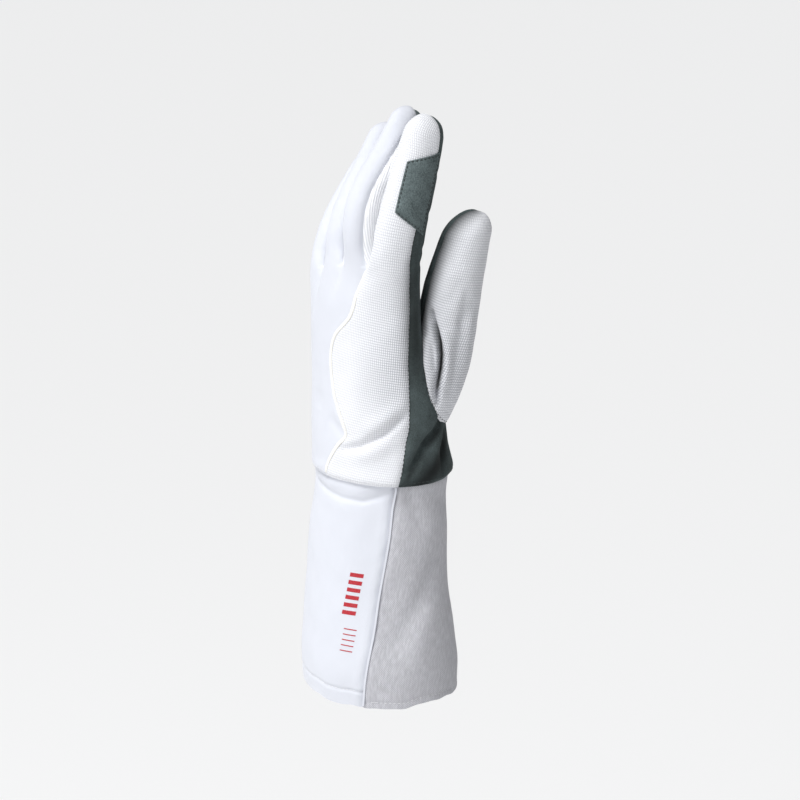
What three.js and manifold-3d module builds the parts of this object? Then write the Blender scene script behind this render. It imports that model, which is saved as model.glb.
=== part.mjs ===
// Fencing glove for the left hand, in the shape it has when worn.
// Millimetres. +Z runs up to the fingertips, -Y is the back of the hand, +X is the thumb side.
// The origin is the middle of the cuff's open mouth.

import * as THREE from 'three';
import { mergeVertices } from 'three/addons/utils/BufferGeometryUtils.js';
import Module from 'manifold-3d';

const wasm = await Module();
wasm.setup();

// Driving sizes
const SEAM_GAP = 0.3;
const STRIP_GAP = 1.1;
const MITRE_LIMIT = 1.0;
const KNIT_WALL = 2.0;
const SUEDE_WALL = 1.4;
const RIB_WALL = 1.6;
const CUFF_WALL = 1.8;
const WRIST_Z = 130.5;
const CUFF_TUCK = 8;
const HEM_HEIGHT = 9;
const HEM_WALL = 1.2;
const PATCH_WALL = 1.0;
const PIPING_WIDTH = 1.9;
const PIPING_WALL = 0.6;
const PIPING_LOW_Z = 1.5;
const PIPING_TOP_GAP = 0.6;
const PIPING_SEAM_TURN = 0.5;
const HEM_GAP_TURN = 0.4;
const SEAM_RIDGE_WIDTH = 2.2;
const SEAM_RIDGE_HEIGHT = 0.9;
const SEAM_RIDGE_SINK = 0.35;
const SEAM_RIDGE_LIFT = 0.5;
const SEAM_RIDGE_SIDES = 8;
const PATCH_LIFT = 1.55;
const HAND_TO_FINGER = [-26, 16];
const HEM_CLIMB = 2.2;
const HEM_LOW_ANGLE = 48;
const CROTCH_ROUND = 13;
const FINGER_LENGTH = 88;

// Grid steps along and across the skin
const HAND_STEPS = 16;
const CROTCH_HEIGHTS = [0.9, 2.2, 4.2, 7.5, 12];
const FINGER_MIDDLE_STEPS = 5;
const DOME_ANGLES = [0, 28, 50, 68, 90];
const FINGER_STEPS = CROTCH_HEIGHTS.length + FINGER_MIDDLE_STEPS + DOME_ANGLES.length - 1;
const STRIP_STEPS = 5;
const WALL_STEPS = 3;
const CUFF_STEPS_AROUND = 40;
const CUFF_LEVELS = 13;
const THUMB_STEPS_AROUND = 22;
const THUMB_STEPS_ALONG = 18;
const DOME_STEPS = 5;

const radians = THREE.MathUtils.degToRad;
const lerp = THREE.MathUtils.lerp;
const clamp = THREE.MathUtils.clamp;
const smooth = (x, from, to) => THREE.MathUtils.smoothstep(x, from, to);

// A table is read by column name at any value of its first column, with a smooth curve between rows.
function table(names, rows) {
  const at = rows.map((row) => row[0]);
  const last = rows.length - 1;
  return (name, x) => {
    const y = rows.map((row) => row[names.indexOf(name)]);
    const place = clamp(x, at[0], at[last]);
    let k = 0;
    while (k < last - 1 && place > at[k + 1]) {
      k += 1;
    }
    const slope = (j) => {
      const low = Math.max(j - 1, 0);
      const high = Math.min(j + 1, last);
      return (y[high] - y[low]) / (at[high] - at[low]);
    };
    const span = at[k + 1] - at[k];
    const s = (place - at[k]) / span;
    const rise = y[k] + (y[k + 1] - y[k]) * s * s * (3 - 2 * s);
    return rise + span * s * (1 - s) * (slope(k) * (1 - s) - slope(k + 1) * s);
  };
}

// Oval sections of the hand, from the wrist seam to the crotches of the fingers
// and how far the ball of the thumb stands out
const hand = table(['z', 'midX', 'midY', 'halfWidth', 'halfDepth', 'ball'], [
  [129, 0.5, 1.0, 45.6, 36.0, 0.0],
  [138, 0.5, 0.5, 45.0, 35.0, 2.0],
  [150, -0.5, -2.2, 43.4, 31.5, 4.5],
  [165, -1.0, -4.8, 42.6, 27.5, 7.0],
  [185, -1.0, -6.8, 42.4, 23.5, 4.5],
  [210, -1.0, -8.8, 42.4, 20.5, 0.5],
  [235, -1.0, -9.5, 42.2, 18.4, 0.0],
  [256, -1.0, -9.5, 41.8, 17.4, 0.0],
]);
const BALL_ANGLE = 124;
const BALL_SPREAD = 36;

// Seam lines on the hand, as angles round the oval from the middle of the back towards the thumb
const seams = table(['z', 'palmEdge', 'ridge', 'middleRing', 'ringLittle'], [
  [129, 55, -10, -30, -54],
  [138, 59, -8, -29, -53],
  [149, 65, 2, -27, -52],
  [157, 69, 11, -25, -51],
  [164, 73, 8, -24, -50],
  [180, 75, -4, -23, -48],
  [200, 76, -10, -22, -46],
  [213, 78, -5, -20, -44],
  [226, 80, 12, -16, -41],
  [243, 82, 17, -9, -37],
  [255, 84, 23, -5, -35],
]);

// Borders between the finger columns from the thumb side on: the seam line each follows on the hand's
// back, or a fixed angle, and the height of the crotch
const BORDERS = [
  { line: 'palmEdge', crotch: 252 },
  { line: 'ridge', crotch: 255 },
  { line: 'middleRing', crotch: 254 },
  { line: 'ringLittle', crotch: 247 },
  { angle: -96, crotch: 243 },
];
const CROTCH_LEVEL = 255;

// One row for each finger: where its axis starts, its length and its half sizes at the base
const FINGERS = [
  { name: 'index', midX: 28.6, midY: -11.5, length: 88, splay: 1.0, width: 12.0, depth: 15.2 },
  { name: 'middle', midX: 5.8, midY: -14.0, length: 94.5, splay: 1.0, width: 10.0, depth: 13.6 },
  { name: 'ring', midX: -14.8, midY: -11.0, length: 86, splay: 1.0, width: 9.8, depth: 13.2 },
  { name: 'little', midX: -34.6, midY: -8.0, length: 72, splay: 0.5, width: 9.2, depth: 12.4 },
];

// Lean of each finger towards the palm in degrees, and how its sections narrow, along its length
const bends = table(['along', 'index', 'middle', 'ring', 'little', 'taper'], [
  [0.0, 4, -4, 4, 14, 1.0],
  [0.2, 8, -2, 8, 18, 1.0],
  [0.35, 15, 20, 22, 26, 0.99],
  [0.5, 19, 35, 31, 34, 0.95],
  [0.75, 18, 32, 30, 34, 0.87],
  [1.0, 15, 30, 27, 32, 0.76],
]);

// Angles round a finger of its seams, up to where its tip starts to round: the strip between fingers
// starts at stripEdge on the back side, and the index finger's outer seam to the palm is at outerEdge
const fingerSeams = table(['share', 'stripEdge', 'outerEdge'], [
  [0.0, 50, 85],
  [0.3, 52, 93],
  [0.6, 56, 110],
  [0.83, 66, 120],
  [1.0, 90, 116],
]);

// Thumb sections from deep inside the heel of the hand to the tip
const thumb = table(['z', 'midX', 'midY', 'halfWidth', 'halfDepth'], [
  [150, 24.0, 4.0, 10.0, 10.0],
  [166, 31.0, 8.5, 13.0, 13.0],
  [190, 35.5, 13.5, 16.5, 16.0],
  [212, 37.2, 17.0, 17.5, 17.0],
  [235, 39.0, 19.8, 17.2, 16.6],
  [258, 41.8, 24.0, 15.4, 15.2],
  [275, 44.4, 28.5, 13.6, 13.8],
  [286, 46.0, 31.5, 12.8, 13.0],
]);
const THUMB_BOTTOM = 150;
const THUMB_TOP = 284.5;
const THUMB_TIP_ROUND = 14;
const THUMB_TOP_TURN = 88;
const THUMB_LOW_PLACE = 200;
const THUMB_HIGH_PLACE = 275;
const THUMB_INNER_EXTRA = 4;

// Oval sections of the cuff, its radial seam angle, and how far its lower edge hangs
const cuff = table(['z', 'midX', 'midY', 'halfWidth', 'halfDepth', 'seam'], [
  [0, 0.0, 0.0, 50.6, 40.4, 29],
  [20, -0.5, 0.2, 51.2, 41.4, 32],
  [45, -1.0, -0.6, 49.0, 38.6, 38],
  [65, -1.5, -0.8, 47.2, 36.6, 42],
  [100, -1.0, -0.2, 45.6, 34.8, 49],
  [118, 0.0, 0.5, 43.0, 33.4, 51],
  [124, 0.4, 0.8, 42.8, 33.2, 52],
  [130, 0.5, 1.0, 43.3, 33.7, 53],
  [138, 0.5, 0.6, 42.7, 32.7, 54],
]);
const CUFF_ULNAR_SEAM = -112;

// Folds and dents of the hand: two ends as angle and height, depth inwards and width across
const FOLDS = [
  { from: [66, 170], to: [46, 160], depth: 1.6, width: 3.4 },
  { from: [46, 160], to: [22, 152], depth: 1.4, width: 3.4 },
  { from: [60, 176], to: [30, 162], depth: -1.2, width: 5.0 },
  { from: [-18, 178], to: [-17, 168], depth: 1.4, width: 6.0 },
  { from: [96, 172], to: [92, 138], depth: 1.8, width: 5.0 },
];

function ovalPoint(section, angle, z) {
  const turn = radians(angle);
  return new THREE.Vector3(
    section('midX', z) + section('halfWidth', z) * Math.sin(turn),
    section('midY', z) - section('halfDepth', z) * Math.cos(turn),
    z,
  );
}

// Point of the hand's outer form, with the ball of the thumb standing out of the oval
function handPoint(angle, z) {
  const turn = radians(angle);
  const away = (angle - BALL_ANGLE) / BALL_SPREAD;
  const swell = hand('ball', z) * Math.exp(-away * away);
  return ovalPoint(hand, angle, z).add(new THREE.Vector3(swell * Math.sin(turn), -swell * Math.cos(turn), 0));
}

const foldLines = FOLDS.map((fold) => ({
  line: new THREE.Line3(handPoint(...fold.from), handPoint(...fold.to)),
  depth: fold.depth,
  width: fold.width,
}));

// How far the folds press a point of the skin inwards
function foldDepth(point) {
  const nearest = new THREE.Vector3();
  return foldLines.reduce((sum, fold) => {
    fold.line.closestPointToPoint(point, true, nearest);
    const ratio = nearest.distanceTo(point) / fold.width;
    return sum + fold.depth * Math.exp(-ratio * ratio);
  }, 0);
}

// Angle of a column border on the hand's back at a height
function borderAngle(border, z) {
  return BORDERS[border].angle ?? seams(BORDERS[border].line, z);
}

// Angle of the same border on the palm side
function palmAngle(border, z) {
  const outer = border === 0 || border === BORDERS.length - 1;
  return outer ? borderAngle(border, z) : 180 - borderAngle(border, CROTCH_LEVEL);
}

// The wrist edge is lowest at the thumb side of the back and climbs away from there
function wristRise(angle) {
  return HEM_CLIMB * (1 - Math.cos(radians(angle - HEM_LOW_ANGLE)));
}

// Share of a finger's length where its tip starts to round
const roundFrom = (finger) => 1 - finger.width / finger.length;

// Centre line of each finger, added up from short steps along its lean
const CENTRE_STEPS = 40;
FINGERS.forEach((finger, column) => {
  finger.baseZ = 0.5 * (BORDERS[column].crotch + BORDERS[column + 1].crotch);
  const step = finger.length / CENTRE_STEPS;
  finger.centres = [new THREE.Vector2(0, 0)];
  for (let k = 0; k < CENTRE_STEPS; k += 1) {
    const lean = radians(bends(finger.name, (k + 0.5) / CENTRE_STEPS));
    const before = finger.centres[k];
    finger.centres.push(new THREE.Vector2(before.x + step * Math.sin(lean), before.y + step * Math.cos(lean)));
  }
});

// Point of a finger's own tube. angle runs round it from the back towards the thumb side, and
// rise lowers or lifts the point past the start of the centre line.
function fingerPoint(finger, angle, rise, along) {
  const turn = radians(angle);
  const lean = radians(bends(finger.name, along));
  const splay = radians(finger.splay);
  const step = Math.min(Math.floor(along * CENTRE_STEPS), CENTRE_STEPS - 1);
  const centreOffset = finger.centres[step].clone().lerp(finger.centres[step + 1], along * CENTRE_STEPS - step);
  const upward = centreOffset.y + rise;
  const forward = centreOffset.x + rise * Math.tan(lean);
  const start = roundFrom(finger);
  const past = clamp((along - start) / (1 - start), 0, 1);
  const size = bends('taper', along) * Math.sqrt(1 - past * past);
  const across = new THREE.Vector3(Math.cos(splay), 0, -Math.sin(splay));
  const backwards = new THREE.Vector3(0, -Math.cos(lean), Math.sin(lean));
  return new THREE.Vector3(finger.midX + upward * Math.tan(splay), finger.midY + forward, finger.baseZ + upward)
    .addScaledVector(across, finger.width * size * Math.sin(turn))
    .addScaledVector(backwards, finger.depth * size * Math.cos(turn));
}

// Ends of a column's four strips as angles round the finger
function stripAngles(column, along) {
  const share = along / roundFrom(FINGERS[column]);
  const edge = share >= 1 ? 90 : fingerSeams('stripEdge', share);
  const radial = column === 0 ? fingerSeams('outerEdge', share) : edge;
  const ulnar = column === 3 ? 90 : edge;
  return {
    back: [-ulnar, radial],
    radial: [radial, column === 0 ? radial : 180 - edge],
    palm: [column === 0 ? radial : 180 - edge, column === 3 ? 270 : 180 + edge],
    ulnar: [column === 3 ? 270 : 180 + edge, 360 - ulnar],
  };
}

// A place is a step number: up to HAND_STEPS it is on the hand, past that on the finger, where the
// steps are close at the crotch and round the tip
function placeOf(step, finger) {
  if (step <= HAND_STEPS) {
    return { up: step / HAND_STEPS, along: 0 };
  }
  const past = step - HAND_STEPS - 1;
  const crotchSteps = CROTCH_HEIGHTS.length;
  if (past < crotchSteps) {
    return { up: 1, along: CROTCH_HEIGHTS[past] / FINGER_LENGTH };
  }
  const start = roundFrom(finger);
  const domeStep = past - crotchSteps - FINGER_MIDDLE_STEPS + 1;
  if (domeStep >= 0) {
    return { up: 1, along: lerp(start, 1, Math.sin(radians(DOME_ANGLES[domeStep]))) };
  }
  const low = CROTCH_HEIGHTS[crotchSteps - 1] / FINGER_LENGTH;
  return { up: 1, along: lerp(low, start, (past - crotchSteps + 1) / FINGER_MIDDLE_STEPS) };
}

// The point before neighbouring columns are joined
function loosePoint(column, strip, across, place) {
  const finger = FINGERS[column];
  const [from, to] = stripAngles(column, place.along)[strip];
  const onBack = strip === 'back';
  const rightShare = onBack ? across : 1 - across;
  const share = { back: rightShare, palm: rightShare, radial: 1, ulnar: 0 }[strip];
  const crotch = lerp(BORDERS[column + 1].crotch, BORDERS[column].crotch, share);
  const risen = place.along * finger.length;
  const z = lerp(WRIST_Z, crotch, place.up) + risen;
  const level = Math.min(z, crotch);
  const angles = (side) => [borderAngle(side, level), palmAngle(side, level)];
  const [ulnarBack, ulnarPalm] = angles(column + 1);
  const [radialBack, radialPalm] = angles(column);
  const wallEnds = strip === 'radial' ? [radialBack, radialPalm] : [ulnarPalm, ulnarBack];
  const ends = {
    back: [ulnarBack, radialBack],
    palm: [radialPalm, column === 3 ? 360 + ulnarPalm : ulnarPalm],
    radial: wallEnds,
    ulnar: wallEnds,
  }[strip];
  const handAngle = lerp(ends[0], ends[1], across);
  const height = z + wristRise(handAngle) * (1 - place.up);
  const onHand = strip === 'back' || strip === 'palm'
    ? handPoint(handAngle, height)
    : handPoint(ends[0], z).lerp(handPoint(ends[1], z), across);
  const onFinger = fingerPoint(finger, lerp(from, to, across), z - crotch - risen, place.along);
  return onHand.lerp(onFinger, smooth(z - crotch, ...HAND_TO_FINGER));
}

// How strongly neighbouring columns are drawn to their common border
function jointPull(place) {
  const open = clamp((place.along * FINGER_LENGTH) / CROTCH_ROUND, 0, 1);
  return 1 - Math.sqrt(1 - (1 - open) * (1 - open));
}

const OPPOSITE = { radial: 'ulnar', ulnar: 'radial' };

// Shift that brings a border point halfway to the same point of the neighbour
function borderShift(column, side, strip, across, place) {
  const neighbour = column + (side === 'radial' ? -1 : 1);
  if (neighbour < 0 || neighbour > 3) {
    return new THREE.Vector3();
  }
  const own = loosePoint(column, strip, across, place);
  const sideStrip = strip === 'radial' || strip === 'ulnar';
  const other = sideStrip
    ? loosePoint(neighbour, OPPOSITE[strip], 1 - across, place)
    : loosePoint(neighbour, strip, 1 - across, place);
  return other.sub(own).multiplyScalar(0.5 * jointPull(place));
}

// Final point of the outer skin
function skinPoint(column, strip, across, place) {
  const point = loosePoint(column, strip, across, place);
  if (strip === 'radial' || strip === 'ulnar') {
    return point.add(borderShift(column, strip, strip, across, place));
  }
  const radialEnd = strip === 'back' ? 1 : 0;
  const nearRadial = strip === 'back' ? across : 1 - across;
  point.addScaledVector(borderShift(column, 'radial', strip, radialEnd, place), nearRadial ** 2);
  point.addScaledVector(borderShift(column, 'ulnar', strip, 1 - radialEnd, place), (1 - nearRadial) ** 2);
  return point;
}

// Grid of points for one strip of one column
function stripGrid(column, strip, firstStep) {
  const cells = strip === 'back' || strip === 'palm' ? STRIP_STEPS : WALL_STEPS;
  const rows = [];
  for (let step = firstStep; step <= HAND_STEPS + FINGER_STEPS; step += 1) {
    const place = placeOf(step, FINGERS[column]);
    const row = [];
    for (let k = 0; k <= cells; k += 1) {
      row.push(skinPoint(column, strip, k / cells, place));
    }
    rows.push(row);
  }
  return rows;
}

// Welded skin: every strip becomes triangles over shared points, with the name of its panel
class Skin {
  constructor() {
    this.points = [];
    this.lookup = new Map();
    this.faces = [];
  }

  pointIndex(point) {
    const key = point.toArray().map((value) => Math.round(value * 50)).join(' ');
    if (!this.lookup.has(key)) {
      this.lookup.set(key, this.points.length);
      this.points.push(point.clone());
    }
    return this.lookup.get(key);
  }

  addGrid(panel, rows) {
    const index = rows.map((row) => row.map((point) => this.pointIndex(point)));
    for (let j = 0; j + 1 < rows.length; j += 1) {
      for (let k = 0; k + 1 < rows[j].length; k += 1) {
        const [a, b, c, d] = [index[j][k], index[j][k + 1], index[j + 1][k + 1], index[j + 1][k]];
        this.addFace(panel, a, b, c);
        this.addFace(panel, a, c, d);
      }
    }
  }

  addFace(panel, a, b, c) {
    if (a !== b && b !== c && a !== c) {
      this.faces.push({ panel, corners: [a, b, c] });
    }
  }

  normals() {
    const sums = this.points.map(() => new THREE.Vector3());
    this.faces.forEach(({ corners: [a, b, c] }) => {
      const [p, q, r] = [this.points[a], this.points[b], this.points[c]];
      const area = q.clone().sub(p).cross(r.clone().sub(p));
      [a, b, c].forEach((corner) => sums[corner].add(area));
    });
    return sums.map((sum) => sum.normalize());
  }

  pressFolds() {
    const normals = this.normals();
    this.points.forEach((point, i) => point.addScaledVector(normals[i], -foldDepth(point)));
  }
}

// Closed wall of one panel: outer face, inner face and the edge all round, kept clear of its neighbours
function panelShell(skin, normals, panel, wall, gap = SEAM_GAP) {
  const faces = skin.faces.filter((face) => face.panel === panel).map((face) => face.corners);
  const open = new Map();
  faces.forEach(([a, b, c]) => {
    [[a, b], [b, c], [c, a]].forEach(([from, to]) => {
      const back = `${to} ${from}`;
      if (open.has(back)) {
        open.delete(back);
      } else {
        open.set(`${from} ${to}`, [from, to]);
      }
    });
  });
  const edges = [...open.values()];
  const inward = new Map();
  edges.forEach(([from, to]) => {
    const along = skin.points[to].clone().sub(skin.points[from]).normalize();
    [from, to].forEach((corner) => {
      const side = normals[corner].clone().cross(along).normalize();
      inward.set(corner, (inward.get(corner) ?? new THREE.Vector3()).add(side));
    });
  });
  const corners = [...new Set(faces.flat())];
  const place = new Map(corners.map((corner, k) => [corner, k]));
  const outer = [];
  const inner = [];
  corners.forEach((corner) => {
    const point = skin.points[corner].clone();
    if (inward.has(corner)) {
      const side = inward.get(corner);
      const mitre = Math.min(gap / Math.max(side.length(), 0.01), MITRE_LIMIT);
      point.addScaledVector(side.normalize(), mitre);
    }
    outer.push(point);
    inner.push(point.clone().addScaledVector(normals[corner], -wall));
  });
  const triangles = [];
  const count = corners.length;
  faces.forEach(([a, b, c]) => {
    const [p, q, r] = [place.get(a), place.get(b), place.get(c)];
    triangles.push([p, q, r], [r + count, q + count, p + count]);
  });
  edges.forEach(([from, to]) => {
    const [p, q] = [place.get(from), place.get(to)];
    triangles.push([q, p, p + count], [q, p + count, q + count]);
  });
  return solidGeometry([...outer, ...inner], triangles);
}

function solidGeometry(points, triangles) {
  const geometry = new THREE.BufferGeometry();
  geometry.setAttribute('position', new THREE.Float32BufferAttribute(points.flatMap((p) => p.toArray()), 3));
  geometry.setIndex(triangles.flat());
  return geometry;
}

// Closed solid through rings of points, with both ends capped by a fan
function ringSolid(rings) {
  const count = rings[0].length;
  const points = rings.flat();
  const triangles = [];
  for (let j = 0; j + 1 < rings.length; j += 1) {
    for (let k = 0; k < count; k += 1) {
      const next = (k + 1) % count;
      const [a, b, c, d] = [j * count + k, j * count + next, (j + 1) * count + next, (j + 1) * count + k];
      triangles.push([a, b, c], [a, c, d]);
    }
  }
  const middle = (ring) => ring.reduce((sum, p) => sum.add(p), new THREE.Vector3()).divideScalar(count);
  const top = (rings.length - 1) * count;
  points.push(middle(rings[0]), middle(rings[rings.length - 1]));
  for (let k = 0; k < count; k += 1) {
    const next = (k + 1) % count;
    triangles.push([points.length - 2, next, k], [points.length - 1, top + k, top + next]);
  }
  return solidGeometry(points, triangles);
}

// Boolean joins and cuts
function toManifold(geometry) {
  const bare = geometry.clone();
  bare.deleteAttribute('normal');
  bare.deleteAttribute('uv');
  const merged = mergeVertices(bare, 1e-4);
  const mesh = new wasm.Mesh({
    numProp: 3,
    vertProperties: new Float32Array(merged.attributes.position.array),
    triVerts: new Uint32Array(merged.index.array),
  });
  return new wasm.Manifold(mesh);
}

function toGeometry(solid) {
  const mesh = solid.getMesh();
  const geometry = new THREE.BufferGeometry();
  geometry.setAttribute('position', new THREE.BufferAttribute(new Float32Array(mesh.vertProperties), 3));
  geometry.setIndex(new THREE.BufferAttribute(new Uint32Array(mesh.triVerts), 1));
  return geometry;
}

// The whole skin of the hand and its four fingers
const PANEL_OF_BACK = ['back_panel', 'back_pad', 'back_pad', 'back_pad'];
const STRIP_NAMES = ['fourchette_index_middle', 'fourchette_middle_ring', 'fourchette_ring_little'];
const skin = new Skin();
FINGERS.forEach((finger, column) => {
  skin.addGrid(PANEL_OF_BACK[column], stripGrid(column, 'back', 0));
  skin.addGrid('palm_panel', stripGrid(column, 'palm', 0));
  if (column > 0) {
    skin.addGrid(STRIP_NAMES[column - 1], stripGrid(column, 'radial', HAND_STEPS));
  }
  if (column < 3) {
    skin.addGrid(STRIP_NAMES[column], stripGrid(column, 'ulnar', HAND_STEPS));
  }
});
skin.pressFolds();
const skinNormals = skin.normals();

// The hand as one closed block, grown or shrunk along its normals, to trim the thumb and the palm
function handBlock(grow) {
  const points = skin.points.map((point, i) => point.clone().addScaledVector(skinNormals[i], grow));
  const triangles = skin.faces.map((face) => face.corners);
  const used = new Map();
  triangles.forEach(([a, b, c]) => {
    [[a, b], [b, c], [c, a]].forEach(([from, to]) => {
      if (used.has(`${to} ${from}`)) {
        used.delete(`${to} ${from}`);
      } else {
        used.set(`${from} ${to}`, [from, to]);
      }
    });
  });
  const bottom = points.length;
  points.push(new THREE.Vector3(0, 0, WRIST_Z));
  const cap = [...used.values()].map(([from, to]) => [to, from, bottom]);
  return solidGeometry(points, [...triangles, ...cap]);
}

// Thumb tube: rings across a leaning axis, closed to a round tip
function thumbRings(grow, extra) {
  const rings = [];
  const bottom = THUMB_BOTTOM - extra;
  const top = THUMB_TOP + grow;
  const roundFrom = THUMB_TOP - THUMB_TIP_ROUND;
  for (let j = 0; j <= THUMB_STEPS_ALONG; j += 1) {
    const share = j / THUMB_STEPS_ALONG;
    const z = j < THUMB_STEPS_ALONG - DOME_STEPS
      ? lerp(bottom, roundFrom, share * THUMB_STEPS_ALONG / (THUMB_STEPS_ALONG - DOME_STEPS))
      : lerp(roundFrom, top, Math.sin(radians(THUMB_TOP_TURN) * (j - THUMB_STEPS_ALONG + DOME_STEPS) / DOME_STEPS));
    const past = clamp((z - roundFrom) / (top - roundFrom), 0, 1);
    const dome = Math.sqrt(1 - past * past);
    const ring = [];
    for (let k = 0; k < THUMB_STEPS_AROUND; k += 1) {
      const turn = (k / THUMB_STEPS_AROUND) * Math.PI * 2;
      ring.push(new THREE.Vector3(
        thumb('midX', z) + (thumb('halfWidth', z) + grow) * dome * Math.sin(turn),
        thumb('midY', z) - (thumb('halfDepth', z) + grow) * dome * Math.cos(turn),
        z,
      ));
    }
    rings.push(ring);
  }
  return rings;
}

// Half space on one side of the plane that parts the two halves of the thumb
const THUMB_FACING = 76;
const THUMB_PART_BACK = 0.5;
const HALF_SPACE = 300;
function thumbHalf(side) {
  const box = new THREE.BoxGeometry(HALF_SPACE, HALF_SPACE, HALF_SPACE);
  const facing = new THREE.Vector3(Math.sin(radians(THUMB_FACING)), -Math.cos(radians(THUMB_FACING)), 0);
  const axisPoint = (z) => new THREE.Vector3(thumb('midX', z), thumb('midY', z), z);
  const low = axisPoint(THUMB_LOW_PLACE);
  const high = axisPoint(THUMB_HIGH_PLACE);
  const axis = high.clone().sub(low).normalize();
  const normal = facing.addScaledVector(axis, -facing.dot(axis)).normalize();
  const third = new THREE.Vector3().crossVectors(normal, axis);
  const turned = new THREE.Matrix4().makeBasis(third, normal, axis);
  const offset = side * (0.5 * HALF_SPACE + 0.5 * SEAM_GAP) - THUMB_PART_BACK;
  turned.setPosition(low.clone().addScaledVector(normal, offset));
  return toManifold(box.applyMatrix4(turned));
}

const thumbShell = toManifold(ringSolid(thumbRings(0, 0)))
  .subtract(toManifold(ringSolid(thumbRings(-KNIT_WALL, THUMB_INNER_EXTRA))))
  .subtract(toManifold(handBlock(SEAM_GAP)));
const palm = toManifold(panelShell(skin, skinNormals, 'palm_panel', SUEDE_WALL))
  .subtract(toManifold(ringSolid(thumbRings(-KNIT_WALL, THUMB_INNER_EXTRA))));

// Cuff walls: a grid between two seam angles and two heights, offset inwards by the wall
function ovalNormal(section, angle, z) {
  const turn = radians(angle);
  return new THREE.Vector3(
    section('halfDepth', z) * Math.sin(turn),
    -section('halfWidth', z) * Math.cos(turn),
    0,
  ).normalize();
}

// The cuff's mouth is slightly uneven, and it is cut a little higher on the palm side
const MOUTH_WAVES = [
  { height: 0.7, turns: 3, shift: 0 },
  { height: 0.4, turns: 7, shift: 1 },
];
const MOUTH_CLIMB = 2.5;
const MOUTH_LOW_ANGLE = 10;
const MOUTH_FADE_Z = 40;

// How far the lower edge of the cuff hangs at an angle
function edgeDrop(angle) {
  const turn = radians(angle);
  let drop = -MOUTH_CLIMB * (1 - Math.cos(turn - radians(MOUTH_LOW_ANGLE)));
  for (const wave of MOUTH_WAVES) {
    drop += wave.height * Math.sin(wave.turns * turn + wave.shift);
  }
  return drop;
}

function cuffPatch({ fromAngle, toAngle, lowZ, highZ, inset, wall, cells, levels }) {
  const outer = [];
  const inner = [];
  for (let j = 0; j <= levels; j += 1) {
    const share = j / levels;
    for (let k = 0; k <= cells; k += 1) {
      const z = lerp(lowZ, highZ, share);
      const angle = lerp(fromAngle(z), toAngle(z), k / cells);
      const height = z - edgeDrop(angle) * (1 - smooth(z, 0, MOUTH_FADE_Z));
      const normal = ovalNormal(cuff, angle, z);
      const point = ovalPoint(cuff, angle, z).setZ(height).addScaledVector(normal, -inset);
      outer.push(point);
      inner.push(point.clone().addScaledVector(normal, -wall));
    }
  }
  const row = cells + 1;
  const count = outer.length;
  const triangles = [];
  const quad = (a, b, c, d) => triangles.push([a, b, c], [a, c, d]);
  for (let j = 0; j < levels; j += 1) {
    for (let k = 0; k < cells; k += 1) {
      const a = j * row + k;
      quad(a, a + 1, a + row + 1, a + row);
      quad(a + count, a + row + count, a + row + 1 + count, a + 1 + count);
    }
    const left = j * row;
    const right = left + cells;
    quad(left, left + row, left + row + count, left + count);
    quad(right, right + count, right + row + count, right + row);
  }
  for (let k = 0; k < cells; k += 1) {
    const top = levels * row + k;
    quad(k, k + count, k + 1 + count, k + 1);
    quad(top, top + 1, top + 1 + count, top + count);
  }
  return solidGeometry([...outer, ...inner], triangles);
}

// Half a seam gap as an angle at a height of the cuff
const cuffGapAngle = (z) => THREE.MathUtils.radToDeg((0.5 * SEAM_GAP) / cuff('halfDepth', z));
const radialSeam = (z) => cuff('seam', z);
const CUFF_TOP = WRIST_Z + CUFF_TUCK;
const BACK_PANEL_SHARE = 0.42;
const cuffBack = cuffPatch({
  fromAngle: (z) => CUFF_ULNAR_SEAM + cuffGapAngle(z),
  toAngle: (z) => radialSeam(z) - cuffGapAngle(z),
  lowZ: 0,
  highZ: CUFF_TOP,
  inset: 0,
  wall: CUFF_WALL,
  cells: Math.round(CUFF_STEPS_AROUND * BACK_PANEL_SHARE),
  levels: CUFF_LEVELS,
});
const cuffFront = cuffPatch({
  fromAngle: (z) => radialSeam(z) + cuffGapAngle(z),
  toAngle: (z) => 360 + CUFF_ULNAR_SEAM - cuffGapAngle(z),
  lowZ: 0,
  highZ: CUFF_TOP,
  inset: 0,
  wall: CUFF_WALL,
  cells: Math.round(CUFF_STEPS_AROUND * (1 - BACK_PANEL_SHARE)),
  levels: CUFF_LEVELS,
});
const cuffHem = cuffPatch({
  fromAngle: () => CUFF_ULNAR_SEAM + HEM_GAP_TURN,
  toAngle: () => 360 + CUFF_ULNAR_SEAM - HEM_GAP_TURN,
  lowZ: 0,
  highZ: HEM_HEIGHT,
  inset: CUFF_WALL + SEAM_GAP,
  wall: HEM_WALL,
  cells: CUFF_STEPS_AROUND,
  levels: 1,
});
const pipingAngle = (z) => THREE.MathUtils.radToDeg(PIPING_WIDTH / cuff('halfWidth', z));
const cuffPiping = cuffPatch({
  fromAngle: (z) => radialSeam(z) + PIPING_SEAM_TURN,
  toAngle: (z) => radialSeam(z) + PIPING_SEAM_TURN + pipingAngle(z),
  lowZ: PIPING_LOW_Z,
  highZ: WRIST_Z - PIPING_TOP_GAP,
  inset: -SEAM_GAP - PIPING_WALL,
  wall: PIPING_WALL,
  cells: 2,
  levels: CUFF_LEVELS,
});

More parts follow.
